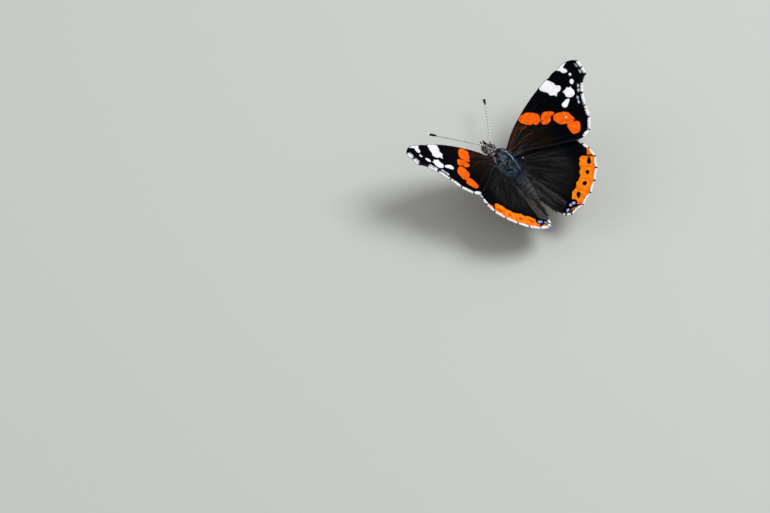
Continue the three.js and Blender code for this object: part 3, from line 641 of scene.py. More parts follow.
class Tufts:
    """Tapered three-sided tufts that leave the skin at a slant and bend along their lie."""

    def __init__(self, random, *tints):
        self.random = random
        self.tints = tints
        self.parts = []

    def add(self, style, roots, normals, lie, length, lift, flat=None, **tints):
        """Adds a tuft at each root. A tint that isn't given is 0."""
        random = self.random
        style = PLAIN_TUFT | TUFTS[style]
        rings, stray, clumps = style["rings"], style["stray"], style["clumps"]
        count = len(roots)
        clump = random.random(count)
        pull = np.zeros((count, 3))
        if clumps:
            centres = roots[random.choice(count, clumps, replace=False)]
            nearest = np.argmin(np.sum(centres**2, axis=1) - 2 * roots @ centres.T, axis=1)
            pull = (centres[nearest] - roots) * style["gather"]
            clump = random.random(clumps)[nearest]
        length = length * random.uniform(0.75, 1.2, count)
        width = style["width"] * random.uniform(0.8, 1.2, count)
        lift = lift * random.uniform(0.6, 1.4, count)
        lie = unit(lie - normals * np.sum(lie * normals, axis=1, keepdims=True))
        lie = unit(lie + np.cross(lie, normals) * random.normal(0, stray, (count, 1)))
        side = np.cross(lie, normals)
        curl = random.normal(0, stray * 0.4, count)
        steps = np.linspace(0, 1, rings + 1)
        ahead = length[:, None] * steps
        rise = (length * lift)[:, None] * steps * (1.3 - 0.6 * steps) - TUFT_SINK
        bend = (length * curl)[:, None] * steps**2
        spine = (roots[:, None] + ahead[..., None] * lie[:, None] + rise[..., None] * normals[:, None]
                 + bend[..., None] * side[:, None] + pull[:, None] * steps[:, None] ** 1.3)
        turn = np.pi / 2 + 2 * np.pi * np.arange(3) / 3
        girth = (width[:, None] * (1 - steps[:-1]) ** 0.6)[..., None, None]
        wide = girth * np.cos(turn)[:, None] * side[:, None, None]
        deep = girth * style["thin"] * np.sin(turn)[:, None] * normals[:, None, None]
        around = (spine[:, :-1, None] + wide + deep).reshape(count, -1, 3)
        points = np.concatenate([around, spine[:, -1:]], axis=1)
        each = points.shape[1]
        along = np.append(np.repeat(steps[:-1], 3), 1)
        across = np.cos(np.append(np.tile(turn, rings), np.pi / 2))
        own_map = BAKE_TUFT * np.stack([across, 2 * along - 1], 1)
        home = np.full((count, 2), 0.5) if flat is None else flat
        bake = (np.clip(home, 0.01, 0.99)[:, None] + own_map[None]).reshape(-1, 2)
        data = {
            "along": np.tile(along, count),
            "shade": np.repeat(random.random(count), each),
            "clump": np.repeat(clump, each),
            "home": np.repeat(roots, each, axis=0),
        }
        for key in self.tints:
            data[key] = np.repeat(np.broadcast_to(tints.get(key, 0.0), count), each)
        self.parts.append((points.reshape(-1, 3), self.faces(count, rings), data, bake))

    @staticmethod
    def faces(count, rings):
        one = []
        for ring in range(rings):
            for corner in range(3):
                a, b = 3 * ring + corner, 3 * ring + (corner + 1) % 3
                one.append([a, 3 * rings, b, -1] if ring == rings - 1 else [a, a + 3, b + 3, b])
        one = np.array(one + [[0, 1, 2, -1]])
        start = (3 * rings + 1) * np.arange(count)[:, None, None]
        return np.where(one[None] >= 0, one[None] + start, -1).reshape(-1, 4)

    def build(self, name, material, slot, side=1):
        """One mesh of every tuft added so far, none of it below the floor."""
        start = 0
        faces = []
        for points, own, _, _ in self.parts:
            faces.append(np.where(own >= 0, own + start, -1))
            start += len(points)
        values = {key: np.concatenate([part[2][key] for part in self.parts]) for key in self.parts[0][2]}
        points = np.vstack([part[0] for part in self.parts])
        points[:, 2] = np.maximum(points[:, 2], FLOOR)
        bake = np.vstack([part[3] for part in self.parts])
        made = build(name, points, np.vstack(faces), [material], side, values=values, bake_map=bake)


# Materials


class Term:
    """A number that a material works out at each point. Terms add and multiply as numbers do."""

    def __init__(self, shade, socket):
        self.shade = shade
        self.socket = socket

    def __add__(self, other):
        return self.shade.math("ADD", self, other)

    def __sub__(self, other):
        return self.shade.math("SUBTRACT", self, other)

    def __rsub__(self, other):
        return self.shade.math("SUBTRACT", other, self)

    def __mul__(self, other):
        return self.shade.math("MULTIPLY", self, other)

    def __pow__(self, other):
        return self.shade.math("POWER", self, other)

    def __abs__(self):
        return self.shade.math("ABSOLUTE", self)

    def at_most(self, limit):
        return self.shade.math("MINIMUM", self, limit)

    def at_least(self, limit):
        return self.shade.math("MAXIMUM", self, limit)

    def spread(self, low, high, first=0.0, last=1.0):
        """A smooth change from first to last as the term goes from low to high."""
        values = {0: self, 1: low, 2: high, 3: first, 4: last}
        return self.shade.term("MapRange", values, interpolation_type="SMOOTHSTEP")


class Shading:
    """A material's nodes. Its base is the colour so far, and tints are laid over it."""

    def __init__(self, name, roughness, specular):
        self.material = bpy.data.materials.new(name)
        self.material.use_nodes = True
        self.tree = self.material.node_tree
        self.surface = self.tree.nodes["Principled BSDF"].inputs
        self.surface["Roughness"].default_value = roughness
        self.surface["Specular IOR Level"].default_value = specular
        self.base = BLACK

    def feed(self, socket, value):
        if isinstance(value, Term):
            value = value.socket
        if isinstance(value, bpy.types.NodeSocket):
            self.tree.links.new(value, socket)
        elif value is not None:
            socket.default_value = value

    def node(self, kind, values, **settings):
        made = self.tree.nodes.new("ShaderNode" + kind)
        for key, value in settings.items():
            setattr(made, key, value)
        for slot, value in values.items():
            self.feed(made.inputs[slot], value)
        return made

    def term(self, kind, values, output=0, **settings):
        return Term(self, self.node(kind, values, **settings).outputs[output])

    def number(self, name):
        return self.term("Attribute", {}, "Fac", attribute_name=name)

    def vector(self, name):
        return self.node("Attribute", {}, attribute_name=name).outputs["Vector"]

    def math(self, operation, first, second=None):
        return self.term("Math", {0: first, 1: second}, operation=operation)

    def mix(self, share, first, second, blend="MIX"):
        first, second = (colour(tint) if isinstance(tint, tuple) else tint for tint in (first, second))
        values = {0: share, 6: first, 7: second}
        return self.node("Mix", values, data_type="RGBA", blend_type=blend).outputs[2]

    def cover(self, share, tint):
        """Lays a tint over the base by a share."""
        self.base = self.mix(share, self.base, tint)

    def tint(self, **tints):
        """Lays tints over the base where the numbers of the same names say."""
        for name, tint in tints.items():
            self.cover(self.number(name), tint)

    def tone(self, level):
        """Multiplies the base by a level, darker below 1 and lighter above."""
        grey = self.node("CombineColor", {0: level, 1: level, 2: level}).outputs[0]
        self.base = self.mix(1.0, self.base, grey, "MULTIPLY")

    def texture(self, kind, vector, scale, output=0, **values):
        """A texture over a vector, at one scale or at three."""
        scale = scale if isinstance(scale, tuple) else (scale, scale, scale)
        placed = self.node("Mapping", {0: vector, 3: scale}).outputs[0]
        return self.term("Tex" + kind, {"Vector": placed, "Scale": 1.0} | values, output)

    def noise(self, vector, scale, detail=3.0, rough=0.5):
        return self.texture("Noise", vector, scale, Detail=detail, Roughness=rough)

    def ramp(self, value, stops):
        made = self.node("ValToRGB", {0: value})
        band = made.color_ramp
        while len(band.elements) < len(stops):
            band.elements.new(1.0)
        for element, (position, tint) in zip(band.elements, stops):
            element.position = position
            element.color = colour(tint)
        return made.outputs[0]

    def bump(self, height, strength, distance):
        values = {"Strength": strength, "Distance": distance * MM, "Height": height}
        self.feed(self.surface["Normal"], self.node("Bump", values).outputs[0])

    def root_shade_and_tone(self, low, high):
        """Painted shade deep in the coat, darker at the roots and lighter at the tips, and each tuft a little
        unlike the next.
        """
        along = self.number("along").spread(0.0, 0.9, low, high)
        own = self.number("shade") * 0.5 + 0.75
        self.tone(along * own * (self.number("clump") ** 1.6 * 1.6 + 0.42))

    def finish(self):
        base = colour(self.base) if isinstance(self.base, tuple) else self.base
        self.feed(self.surface["Base Color"], base)
        return self.material


class WingShading(Shading):
    """One face of a wing, with what all four faces read."""

    def __init__(self, name, roughness, specular, vein):
        super().__init__(name, roughness, specular)
        self.plane = self.vector("plane")
        self.lay = self.vector("lay")
        self.fine = self.noise(self.plane, 7)
        self.near_vein = self.number("vein").spread(*vein, 1.0, 0.0)

    def mark(self, name, shift, tint, soft=0.07):
        """Lays one kind of mark over the base, with an edge as ragged as the scales."""
        self.cover((self.number(name) + shift).spread(-soft, soft), tint)

    def finish(self):
        """Breaks the colour up into rows of scales and gives them their relief."""
        cell = self.texture("Voronoi", self.lay, WING_SCALE, "Color")
        lightness = self.term("SeparateColor", {0: cell})
        self.bump(self.texture("Voronoi", self.lay, WING_SCALE, "Distance"), 0.35, 0.06)
        self.feed(self.surface["Roughness"], self.fine.spread(0.0, 1.0, 0.62, 0.8))
        self.tone(lightness.spread(0.0, 1.0, 0.78, 1.12))
        return super().finish()


def fore_upper():
    shade = WingShading("fore_wing_upper", 0.75, 0.015, (0.1, 0.32))
    wobble = shade.fine * 0.5 - 0.25
    reach = shade.number("reach")
    streak = shade.noise(shade.lay, (9, 0.35, 1))
    flecks = shade.noise(shade.plane, 3.4, rough=0.65)
    shade.base = shade.mix(reach.spread(9.0, 16.0), SOOT, BLACK)
    shade.cover(streak.spread(0.5, 0.75) * reach.spread(3, 13, 0.4, 0), (44, 34, 26))
    shade.cover(shade.number("rust") * flecks.spread(0.42, 0.58, 0.1, 1.0), RUST)
    shade.cover(shade.near_vein * reach.spread(10, 18, 0.35, 0.08), (38, 30, 26))
    # Painted sheen: a pale bluish line along the rear edge
    shade.cover(shade.number("rear_edge").spread(0.1, 0.5, 0.3, 0.0) * flecks, (74, 88, 104))
    grain = shade.noise(shade.lay, (4, 1.1, 1), rough=0.6)
    band = shade.mix(shade.noise(shade.plane, 1.4, 4.0).spread(0.35, 0.65), ORANGE_RED, ORANGE)
    band = shade.mix(grain.spread(0.5, 0.75, 0.0, 0.6), band, (236, 62, 16))
    band = shade.mix(shade.near_vein * 0.25, band, (150, 40, 10))
    shade.mark("orange", wobble, band)
    milky = shade.mix(grain.spread(0.42, 0.6), LILAC, (232, 234, 246))
    shade.mark("pale", shade.fine * 0.9 - 0.5, milky, 0.14)
    shade.mark("white", wobble, shade.mix(shade.near_vein * 0.18, WHITE, (176, 180, 200)), 0.06)
    shade.cover(shade.number("edge").spread(0.08, 0.18, 1.0, 0.0), BLACK)
    return shade.finish()


def hind_upper():
    shade = WingShading("hind_wing_upper", 0.75, 0.015, (0.08, 0.4))
    wobble = shade.fine * 0.5 - 0.25
    inner, hair, edge = (shade.number(name) for name in ("inner", "hair", "edge"))
    streak = shade.noise(shade.lay, (8, 0.3, 1), 4.0, 0.6)
    # The inner part's share carries its painted light and shade
    shade.base = shade.mix(inner.spread(0.0, 1.0), (17, 18, 19), GREY_BROWN)
    shade.cover(streak.spread(0.45, 0.72) * hair * 0.3, (74, 70, 70))
    shade.cover(shade.near_vein * hair * 0.2, (70, 66, 64))
    # Painted shade: a dark line along the crease of the inner part
    shade.cover(shade.number("crease") * 0.7, BLACK)
    shade.cover(edge.spread(3.6, 6.5, 0.85, 0.0) * (1.0 - inner), BLACK)
    grain = shade.noise(shade.lay, (4, 1.1, 1), rough=0.6)
    band = shade.mix(shade.noise(shade.plane, 1.2, 4.0).spread(0.35, 0.65), ORANGE, AMBER)
    for share in (grain.spread(0.5, 0.75, 0.0, 0.7), shade.near_vein * 0.45, edge.spread(0.2, 1.1, 0.6, 0.0)):
        band = shade.mix(share, band, ORANGE_RED)
    shade.mark("orange", wobble, band)
    shade.mark("black", wobble + 0.05, BLACK)
    shade.mark("spots", wobble + 0.05, shade.mix(shade.number("faint"), BLACK, (236, 62, 6)))
    shade.mark("blue", wobble - 0.07, shade.mix(shade.fine.spread(0.45, 0.6), BLUE, (214, 222, 250)))
    return shade.finish()


def fore_under():
    shade = WingShading("fore_wing_under", 0.75, 0.12, (0.08, 0.3))
    wobble = shade.fine * 0.6 - 0.3
    marble = shade.noise(shade.plane, 1.1, 6.0, 0.65)
    tip = shade.mix(marble.spread(0.4, 0.62), (58, 42, 30), (146, 120, 92))
    shade.base = shade.mix(shade.number("reach").spread(21.0, 25.5), (22, 18, 18), tip)
    shade.cover(shade.near_vein * 0.5, (96, 74, 54))
    shade.mark("orange", wobble, (232, 96, 58), 0.12)
    shade.mark("pale", wobble, LILAC, 0.25)
    shade.mark("white", wobble, (236, 230, 224), 0.1)
    return shade.finish()


def hind_under():
    shade = WingShading("hind_wing_under", 0.8, 0.12, (0.08, 0.3))
    waves = shade.noise(shade.lay, (0.25, 1.6, 1), 5.0, 0.6)
    shade.base = shade.ramp(shade.noise(shade.plane, 0.8, 7.0, 0.68), MARBLING)
    shade.cover(waves.spread(0.5, 0.62, 0.0, 0.75), (44, 32, 28))
    shade.cover(shade.number("edge").spread(1.2, 2.4, 0.6, 0.0), (110, 92, 78))
    shade.mark("black", shade.fine, (36, 34, 44), 0.5)
    shade.cover(shade.near_vein * 0.55, (120, 92, 68))
    return shade.finish()


def fringe_hair():
    shade = Shading("fringe", 0.7, 0.2)
    shade.base = shade.mix(shade.number("dark"), (250, 250, 250), (10, 9, 12))
    return shade.finish()


def body_colours(name, roughness, specular):
    """A material in the trunk's colours by place: mauve collar, slate thorax, dusky ringed abdomen, with
    painted sheen, light and shade on the thorax.
    """
    shade = Shading(name, roughness, specular)
    home = shade.vector("home")
    x, y, z = (Term(shade, part) for part in shade.node("SeparateXYZ", {0: home}).outputs)
    patch = shade.noise(home, (1.5, 0.8, 1.5), rough=0.6)
    shade.base = shade.ramp((y + 8.0) * (1 / 22), TRUNK_RAMP)
    on_thorax = y.spread(-4.0, -2.6) * y.spread(4.4, 2.6)
    top = z.spread(0.6, 1.4)
    # Pale patches on the top of the thorax: partly paler hair, partly painted sheen where the top faces the
    # light
    shade.cover(patch.spread(0.5, 0.38) * on_thorax * top, (104, 128, 138))
    # Painted shade: dark furrows between the locks of hair on the middle of the top
    furrow_shade = patch.spread(0.52, 0.6) * abs(x).spread(2.0, 1.0) * y.spread(-2.4, -1.0)
    shade.cover(furrow_shade * top * on_thorax * 0.85, (14, 17, 18))
    # Painted light: the left flank of the thorax made paler, where the lamps leave it in shade
    shade.cover(x.spread(1.2, 2.4) * on_thorax * 0.7, (84, 100, 114))
    collar = (y - abs(x) * 0.75).spread(-3.7, -4.3) * (z - y * 0.2).spread(0.4, 1.0)
    shade.cover(collar, (104, 84, 92))
    # Painted sheen: a blue band down the right shoulder and flank, under the painted streak of sheen
    reach = x * ACROSS[0] + z * ACROSS[2]
    past = y - 0.2
    course = 2.4 - past.at_most(0.0) ** 2.0 * 0.03 - past.at_least(0.0) ** 2.0 * 0.075
    band = abs(reach - course).spread(0.25, 0.65, 1.0, 0.0) * y.spread(5.0, 3.6) * z.spread(0.0, 0.6)
    shade.cover(band * y.spread(-3.6, -2.4), (54, 84, 114))
    # Painted shade: the rear of the thorax darkens toward the left wing
    level = y - x * 0.22 - z * 0.33 - reach * 1.09
    shade.cover(level.spread(2.9, 3.6) * y.spread(4.4, 3.6, 0.0, 0.85), (46, 47, 49))
    shade.cover(z.spread(0.4, -0.8, 0.0, 0.85), (108, 98, 92))
    return shade


def trunk_skin():
    shade = body_colours("trunk_skin", 0.7, 0.25)
    shade.cover(0.75, (10, 10, 12))
    shade.bump(shade.noise(shade.vector("home"), (14, 5, 14)), 0.5, 0.05)
    return shade.finish()


def trunk_hair():
    shade = body_colours("trunk_hair", 0.6, 0.14)
    group, speckled = shade.number("clump"), shade.number("speckled")
    shade.cover(speckled * group.spread(0.7, 0.72), (160, 144, 160))
    shade.cover(speckled * group.spread(0.22, 0.2), (40, 28, 38))
    # Painted shade in the partings of the coat, and painted highlights and sheen, from the thorax's strokes
    shade.tint(dark=(6, 9, 10), bright=(208, 226, 250))
    shade.root_shade_and_tone(0.2, 1.25)
    return shade.finish()


def abdomen_scales():
    shade = body_colours("abdomen_scales", 0.55, 0.3)
    shade.cover(shade.number("band").spread(0.55, 0.95) * 0.45, (112, 112, 114))
    shade.root_shade_and_tone(0.6, 1.1)
    return shade.finish()


def wing_hair():
    shade = Shading("wing_hair", 0.6, 0.15)
    pale = shade.number("pale")
    shade.base = shade.mix(pale, (16, 18, 18), (60, 60, 60))
    shade.tint(tan=shade.mix(pale, (44, 42, 42), (100, 94, 91)), rusty=(150, 82, 40), bluish=(112, 120, 134))
    shade.root_shade_and_tone(0.75, 1.1)
    return shade.finish()


def head_hair():
    shade = Shading("head_hair", 0.5, 0.45)
    group, speckled = shade.number("clump"), 1.0 - shade.number("plain")
    shade.base = shade.mix(shade.number("shade").spread(0.3, 0.6), (50, 38, 45), (102, 84, 100))
    shade.cover(speckled * group.spread(0.8, 0.82), (214, 202, 220))
    shade.cover(speckled * group.spread(0.42, 0.4), (8, 6, 10))
    shade.tint(white=(250, 244, 252), black=(8, 8, 14))
    # Painted shade deep in the coat: darker at the roots
    shade.tone(shade.number("along").spread(0.0, 0.9, 0.55, 1.1))
    return shade.finish()


def eye_glass():
    shade = Shading("eye", 0.22, 0.6)
    home = shade.vector("home")
    outward = shade.term("SeparateXYZ", {0: home}).spread(1.35, 1.8)
    shade.base = shade.mix(outward, (38, 20, 14), (112, 58, 24))
    shade.cover(shade.noise(home, 1.6).spread(0.45, 0.65, 0.0, 0.6), (22, 12, 10))
    shade.bump(shade.texture("Voronoi", home, 24, "Distance"), 0.4, 0.02)
    return shade.finish()


def feeler_shell():
    shade = Shading("feeler", 0.5, 0.15)
    ring = shade.number("ring")
    shade.base = shade.mix(ring.spread(0.42, 0.54), (6, 7, 16), (250, 252, 255))
    shade.cover(shade.number("root") * 0.72, (60, 50, 62))
    shade.tint(club=(12, 13, 24), tip=(248, 244, 232))
    shade.bump(ring, 0.3, 0.03)
    return shade.finish()


def tongue_shell():
    shade = Shading("tongue", 0.35, 0.5)
    ring = shade.math("SINE", shade.number("reach") * 60.0)
    shade.base = shade.mix(ring.spread(-0.5, 0.8), (38, 22, 14), (86, 54, 30))
    shade.bump(ring, 0.35, 0.02)
    return shade.finish()


def leg_shell():
    shade = Shading("leg", 0.5, 0.4)
    grain = shade.noise(shade.vector("home"), 9)
    shade.base = shade.mix(shade.number("reach").spread(3.5, 5.5), (34, 28, 28), (134, 106, 78))
    shade.cover(grain.spread(0.4, 0.7, 0.0, 0.5), (60, 44, 34))
    shade.bump(grain, 0.3, 0.03)
    return shade.finish()


def leg_scales():
    shade = Shading("leg_scales", 0.5, 0.4)
    shade.base = shade.mix(shade.number("reach").spread(3.5, 5.5), (52, 46, 48), (152, 124, 92))
    shade.cover(shade.number("shade").spread(0.62, 0.7) * 0.8, (206, 196, 180))
    shade.root_shade_and_tone(0.7, 1.1)
    return shade.finish()


# Wings


def crest_lines(plan, veins, rows):
    """Where each vein runs on each row. A branch follows its parent up to the row where it leaves."""
    table = {vein[0]: vein if len(vein) == 4 else (*vein, None, 0) for vein in veins}
    curves = {}

    def curve(name):
        if name not in curves:
            _, path, parent, row = table[name]
            start = [tuple(point(parent, np.array([row]))[0])] if parent else []
            curves[name] = curve_points(start + list(path), 201)
        return curves[name]

    def point(name, places):
        _, _, parent, row = table[name]
        own = along_curve(curve(name), (places - row) / (plan["rows"] - row))
        if parent:
            own = np.where((places <= row)[:, None], point(parent, places), own)
        return own

    return [point(vein[0], rows) for vein in veins]


def place(plan, plane):
    """The middle surface of a left wing at points outward and forward in its plane."""
    u, v = plane[:, 0], plane[:, 1]
    sweep = math.radians(plan["sweep"])
    lift = math.radians(DIHEDRAL)
    across = u * math.cos(sweep) - v * math.sin(sweep)
    ahead = u * math.sin(sweep) + v * math.cos(sweep)
    reach = np.minimum(np.hypot(u, v if plan["folded"] else 0 * v) / plan["span"], 1)
    rise = plan["rise"] * np.sin(np.pi * reach) - plan["droop"] * reach**6
    if plan["folded"]:
        across, drop = folded(across, -ahead)
        rise = rise - drop
    out = np.array([math.cos(lift), 0, math.sin(lift)])
    up = np.array([-math.sin(lift), 0, math.cos(lift)])
    back = np.array([0, -1, 0])
    return np.array(plan["hinge"]) + across[:, None] * out + rise[:, None] * up + ahead[:, None] * back


def folded(across, back):
    """Inside the fold line the membrane turns down round an arc and then runs straight."""
    inside = np.maximum(FOLD["at"] - across, 0)
    opening = smoothstep(back, FOLD["from"], FOLD["to"])
    full = np.radians(FOLD["beside"] + (FOLD["behind"] - FOLD["beside"]) * opening)
    angle = np.minimum(inside / FOLD["radius"], full)
    straight = np.maximum(inside - FOLD["radius"] * full, 0)
    turned = FOLD["at"] - FOLD["radius"] * np.sin(angle) - straight * np.cos(full)
    drop = FOLD["radius"] * (1 - np.cos(angle)) + straight * np.sin(full)
    return np.where(inside > 0, turned, across), drop


def wing_normals(plan, plane):
    step = 0.05
    along = place(plan, plane + [step, 0]) - place(plan, plane - [step, 0])
    aside = place(plan, plane + [0, step]) - place(plan, plane - [0, step])
    return unit(np.cross(aside, along))


def first_fringed(plan, veins):
    return [vein[0] for vein in veins].index(plan["fringe_from"])


def margin_pull(plan, veins, ends):
    """How far each vein's end stands back from the solid's margin, for the fringe to reach it."""
    first = first_fringed(plan, veins)
    runs = np.diff(ends, axis=0)
    across = unit(np.stack([runs[:, 1], -runs[:, 0]], 1))
    inward = unit(np.vstack([across[:1], across[:-1] + across[1:], across[-1:]]))
    depth = np.where(np.arange(len(ends)) > first, FRINGE, PLAIN_MARGIN)
    depth[first] = FRINGE * 0.5
    return inward * depth[:, None], across


def wing_grid(plan, veins):
    """The wing's plane as strips between neighbouring veins, joined where they share a crest."""
    count = plan["rows"] * 7
    rows = np.linspace(0, plan["rows"], count + 1)
    crests = crest_lines(plan, veins, rows)
    pulls, across = margin_pull(plan, veins, np.array([crest[-1] for crest in crests]))
    fringed = first_fringed(plan, veins)
    calm = fade(rows, plan["rows"] - 1.2, plan["rows"] - 0.3)[:, None]
    taper = np.interp(rows, [0, plan["rows"]], VEIN_HALF)[:, None]
    plane, lift, from_vein, faces = [], [], [], []
    start = 0
    for index, (low, high) in enumerate(zip(crests[:-1], crests[1:])):
        gap = np.linalg.norm(high - low, axis=1)[:, None]
        inner = max(int(np.ceil(gap.max() / GRID_STEP)), 3)
        foot = np.minimum(1.2 * taper / np.maximum(gap, 1e-9), 0.25)
        middle = np.linspace(0, 1, inner + 1)[None, :]
        shares = np.hstack([
            0 * foot, 0.5 * foot, foot + middle * (1 - 2 * foot), 1 - 0.5 * foot, 1 + 0 * foot,
        ])
        points = low[:, None, :] + (high - low)[:, None, :] * shares[..., None]
        drawn = gap[-1, 0] * BULGE if index < fringed else min(plan["scallop"], gap[-1, 0] * SCALLOP_SHARE)
        pull = pulls[index] + (pulls[index + 1] - pulls[index]) * shares[..., None]
        pull = pull + across[index] * drawn * np.sin(np.pi * shares)[..., None]
        points = points + pull * smoothstep(rows, plan["rows"] - 1, plan["rows"])[:, None, None]
        distance = np.minimum(shares, 1 - shares) * gap
        ridge = VEIN_RISE * np.maximum(1 - (distance / taper) ** 2, 0) ** 2 * (0.2 + 0.8 * calm)
        wave = PLEAT * np.minimum(gap / 3, 1) * np.sin(np.pi * shares) * calm * (1 if index % 2 else -1)
        plane.append(points.reshape(-1, 2))
        lift.append(np.stack([ridge, wave], -1).reshape(-1, 2))
        from_vein.append(distance.ravel())
        width = shares.shape[1]
        corner = start + np.arange(count)[:, None] * width + np.arange(width - 1)[None, :]
        faces.append(np.stack([corner, corner + 1, corner + width + 1, corner + width], -1).reshape(-1, 4))
        start += width * (count + 1)
    return joined(np.vstack(plane), np.vstack(lift), np.concatenate(from_vein), np.vstack(faces))


def joined(plane, lift, from_vein, faces):
    """Joins grid points that lie together and splits the quads, dropping the ones left empty."""
    keys = np.round(plane * 5000).astype(np.int64)
    _, kept, where = np.unique(keys, axis=0, return_index=True, return_inverse=True)
    faces = where.ravel()[faces]
    triangles = np.vstack([faces[:, [0, 1, 2]], faces[:, [0, 2, 3]]])
    a, b, c = triangles.T
    triangles = triangles[(a != b) & (b != c) & (a != c)]
    return plane[kept], lift[kept], from_vein[kept], triangles


def rim_of(triangles):
    """The edges that only one triangle has, in that triangle's direction."""
    edges = np.vstack([triangles[:, [0, 1]], triangles[:, [1, 2]], triangles[:, [2, 0]]])
    _, first, counts = np.unique(np.sort(edges, axis=1), axis=0, return_index=True, return_counts=True)
    return edges[first[counts == 1]]


def fan_angle(plane):
    """The direction of each place from a point a little inside the wing's root."""
    return np.arctan2(plane[:, 1], plane[:, 0] + FAN_INSET)


def wing_values(plane, from_vein, marks):
    """What the materials read: marks, distances and the lie of the scales."""
    reach = np.hypot(*plane.T)
    values = {
        "vein": from_vein,
        "plane": np.hstack([plane, 0 * plane[:, :1]]),
        "reach": reach,
        "lay": np.stack([fan_angle(plane) * 14, reach, 0 * reach], 1),
    }
    for name, outlines in marks.items():
        values[name] = np.max([inside_by(outline, plane) for outline in outlines], axis=0)
    return values


def fore_values(plane, from_vein):
    values = wing_values(plane, from_vein, FORE_MARKS)
    from_front = off_line(plane, FORE_VEINS[0][1] + [(28, 16)])
    strip = window(from_front, (0.35, 0.65), (1.1, 1.9)) * fade(values["reach"], 7.0, 10.0)
    line = fade(off_line(plane, RUST_LINE), 0.08, 0.22) * fade(values["reach"], 7.5, 9.5)
    under_band = np.hypot((plane[:, 0] - 6.8) / 1.4, (plane[:, 1] - 4.6) / 0.6)
    values["rust"] = np.maximum.reduce([0.6 * strip, line, fade(under_band, 0.4, 1.1)])
    values["rear_edge"] = off_line(plane, FORE_VEINS[-1][1])
    return values


def from_crease(plane):
    """How far outward of the crease that bounds the hind wing's inner part."""
    sweep = math.radians(HIND["sweep"])
    across = plane[:, 0] * math.cos(sweep) - plane[:, 1] * math.sin(sweep)
    back = -plane[:, 0] * math.sin(sweep) - plane[:, 1] * math.cos(sweep)
    return across - CREASE_SPREAD * back - CREASE_START


def hind_values(plane, from_vein):
    values = wing_values(plane, from_vein, HIND_MARKS)
    crease = from_crease(plane)
    values["inner"] = fade(crease, -0.6, 0.7)
    # Where the painted shade along the crease falls
    values["crease"] = bell(crease, 0.35, 0.3) * smoothstep(values["reach"], 4, 7)
    values["hair"] = fade(values["reach"], 11, 18) * fade(plane[:, 1], -3, 2.5)
    return values


def inner_light(side_name, plane):
    """The hind wing's inner part, in painted light and shade: paler on the left wing, where it faces the
    light, and on the right one only near its crease, shaded beside the abdomen.
    """
    return 1.2 if side_name == "left" else 0.3 + 0.8 * bell(from_crease(plane), -0.1, 0.55)


def add_side_marks(plan, side_name, plane, values):
    """What differs between the left wing and the right one."""
    values["faint"] = np.full(len(plane), 1.0 if side_name == "left" else 0.0)
    if plan["folded"]:
        # Painted light and shade on the hind wing's inner part, paler on the left
        values["inner"] = values["inner"] * inner_light(side_name, plane)
    elif side_name == "left":
        for name, growth in LEFT_FORE_GROWTH.items():
            values[name] = values[name] + growth
        values["rust"] = values["rust"] * LEFT_FORE_RUST
    if side_name == SPECK_SIDE:
        speck = SPECKS[plan["name"]]
        name = "blue" if plan["folded"] else "white"
        values[name] = np.maximum(values[name], speck["radius"] - np.hypot(*(plane - speck["at"]).T))


def make_wing(plan, veins, materials, side_name):
    node = f"{plan['name']}_{side_name}"
    plane, lift, from_vein, triangles = wing_grid(plan, veins)
    rim = rim_of(triangles)
    border = plane[rim[:, 0]]
    if plan["folded"]:
        border = border[np.hypot(*border.T) > HIND_BORDER]
    values = (hind_values if plan["folded"] else fore_values)(plane, from_vein)
    values["edge"] = np.array([np.min(np.hypot(*(border - point).T)) for point in plane])
    add_side_marks(plan, side_name, plane, values)
    normals = wing_normals(plan, plane)
    middle = place(plan, plane) + normals * lift[:, 1:]
    thick = MEMBRANE / 2 + lift[:, :1]
    points = np.vstack([middle + normals * thick, middle - normals * thick])
    total = len(plane)
    if np.sum(facings(middle, triangles) * normals[triangles[:, 0]]) < 0:
        triangles = triangles[:, ::-1]
        rim = rim[:, ::-1]
    filler = np.full((len(triangles), 1), -1)
    upper = np.hstack([triangles, filler])
    under = np.hstack([triangles[:, ::-1] + total, filler])
    around = np.stack([rim[:, 0], rim[:, 0] + total, rim[:, 1] + total, rim[:, 1]], 1)
    kinds = np.repeat([0, 1, 1], [len(upper), len(under), len(around)])
    flat = np.repeat([False, False, True], [len(upper), len(under), len(around)])
    low = plane.min(0)
    size = max((plane.max(0) - low) * [1, 2]) * 1.04

    def mapped(places):
        return (places - low) / size + 0.01

    bake = np.vstack([mapped(plane), mapped(plane) + [0, 0.5]])
    doubled = {key: np.concatenate([data, data]) for key, data in values.items()}
    faces = np.vstack([upper, under, around])
    made = build(f"{node}_membrane", points, faces, materials, SIDES[side_name], kinds, flat, doubled, bake)
    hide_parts(f"{plan['name']}_{side_name}")
    make_fringe(plan, veins, side_name, mapped)
    make_wing_hair(plan, side_name, plane, Surface(middle, triangles, normals), mapped(plane), from_vein)


def margin_line(plan, veins):
    """The edge of the membrane from where the fringe starts to the rear corner, and how near a vein's end."""
    ends = np.array([crest[0] for crest in crest_lines(plan, veins, np.array([plan["rows"]]))])
    pulls, across = margin_pull(plan, veins, ends)
    shares = np.linspace(0, 1, 24)[:-1, None]
    line, closeness = [], []
    for index in range(first_fringed(plan, veins), len(ends) - 1):
        run = ends[index + 1] - ends[index]
        gap = np.linalg.norm(run)
        drawn = min(plan["scallop"], gap * SCALLOP_SHARE)
        pull = pulls[index] + (pulls[index + 1] - pulls[index]) * shares
        line.append(ends[index] + run * shares + pull + across[index] * drawn * np.sin(np.pi * shares))
        closeness.append(np.minimum(shares, 1 - shares)[:, 0] * gap)
    return np.vstack(line), np.concatenate(closeness)


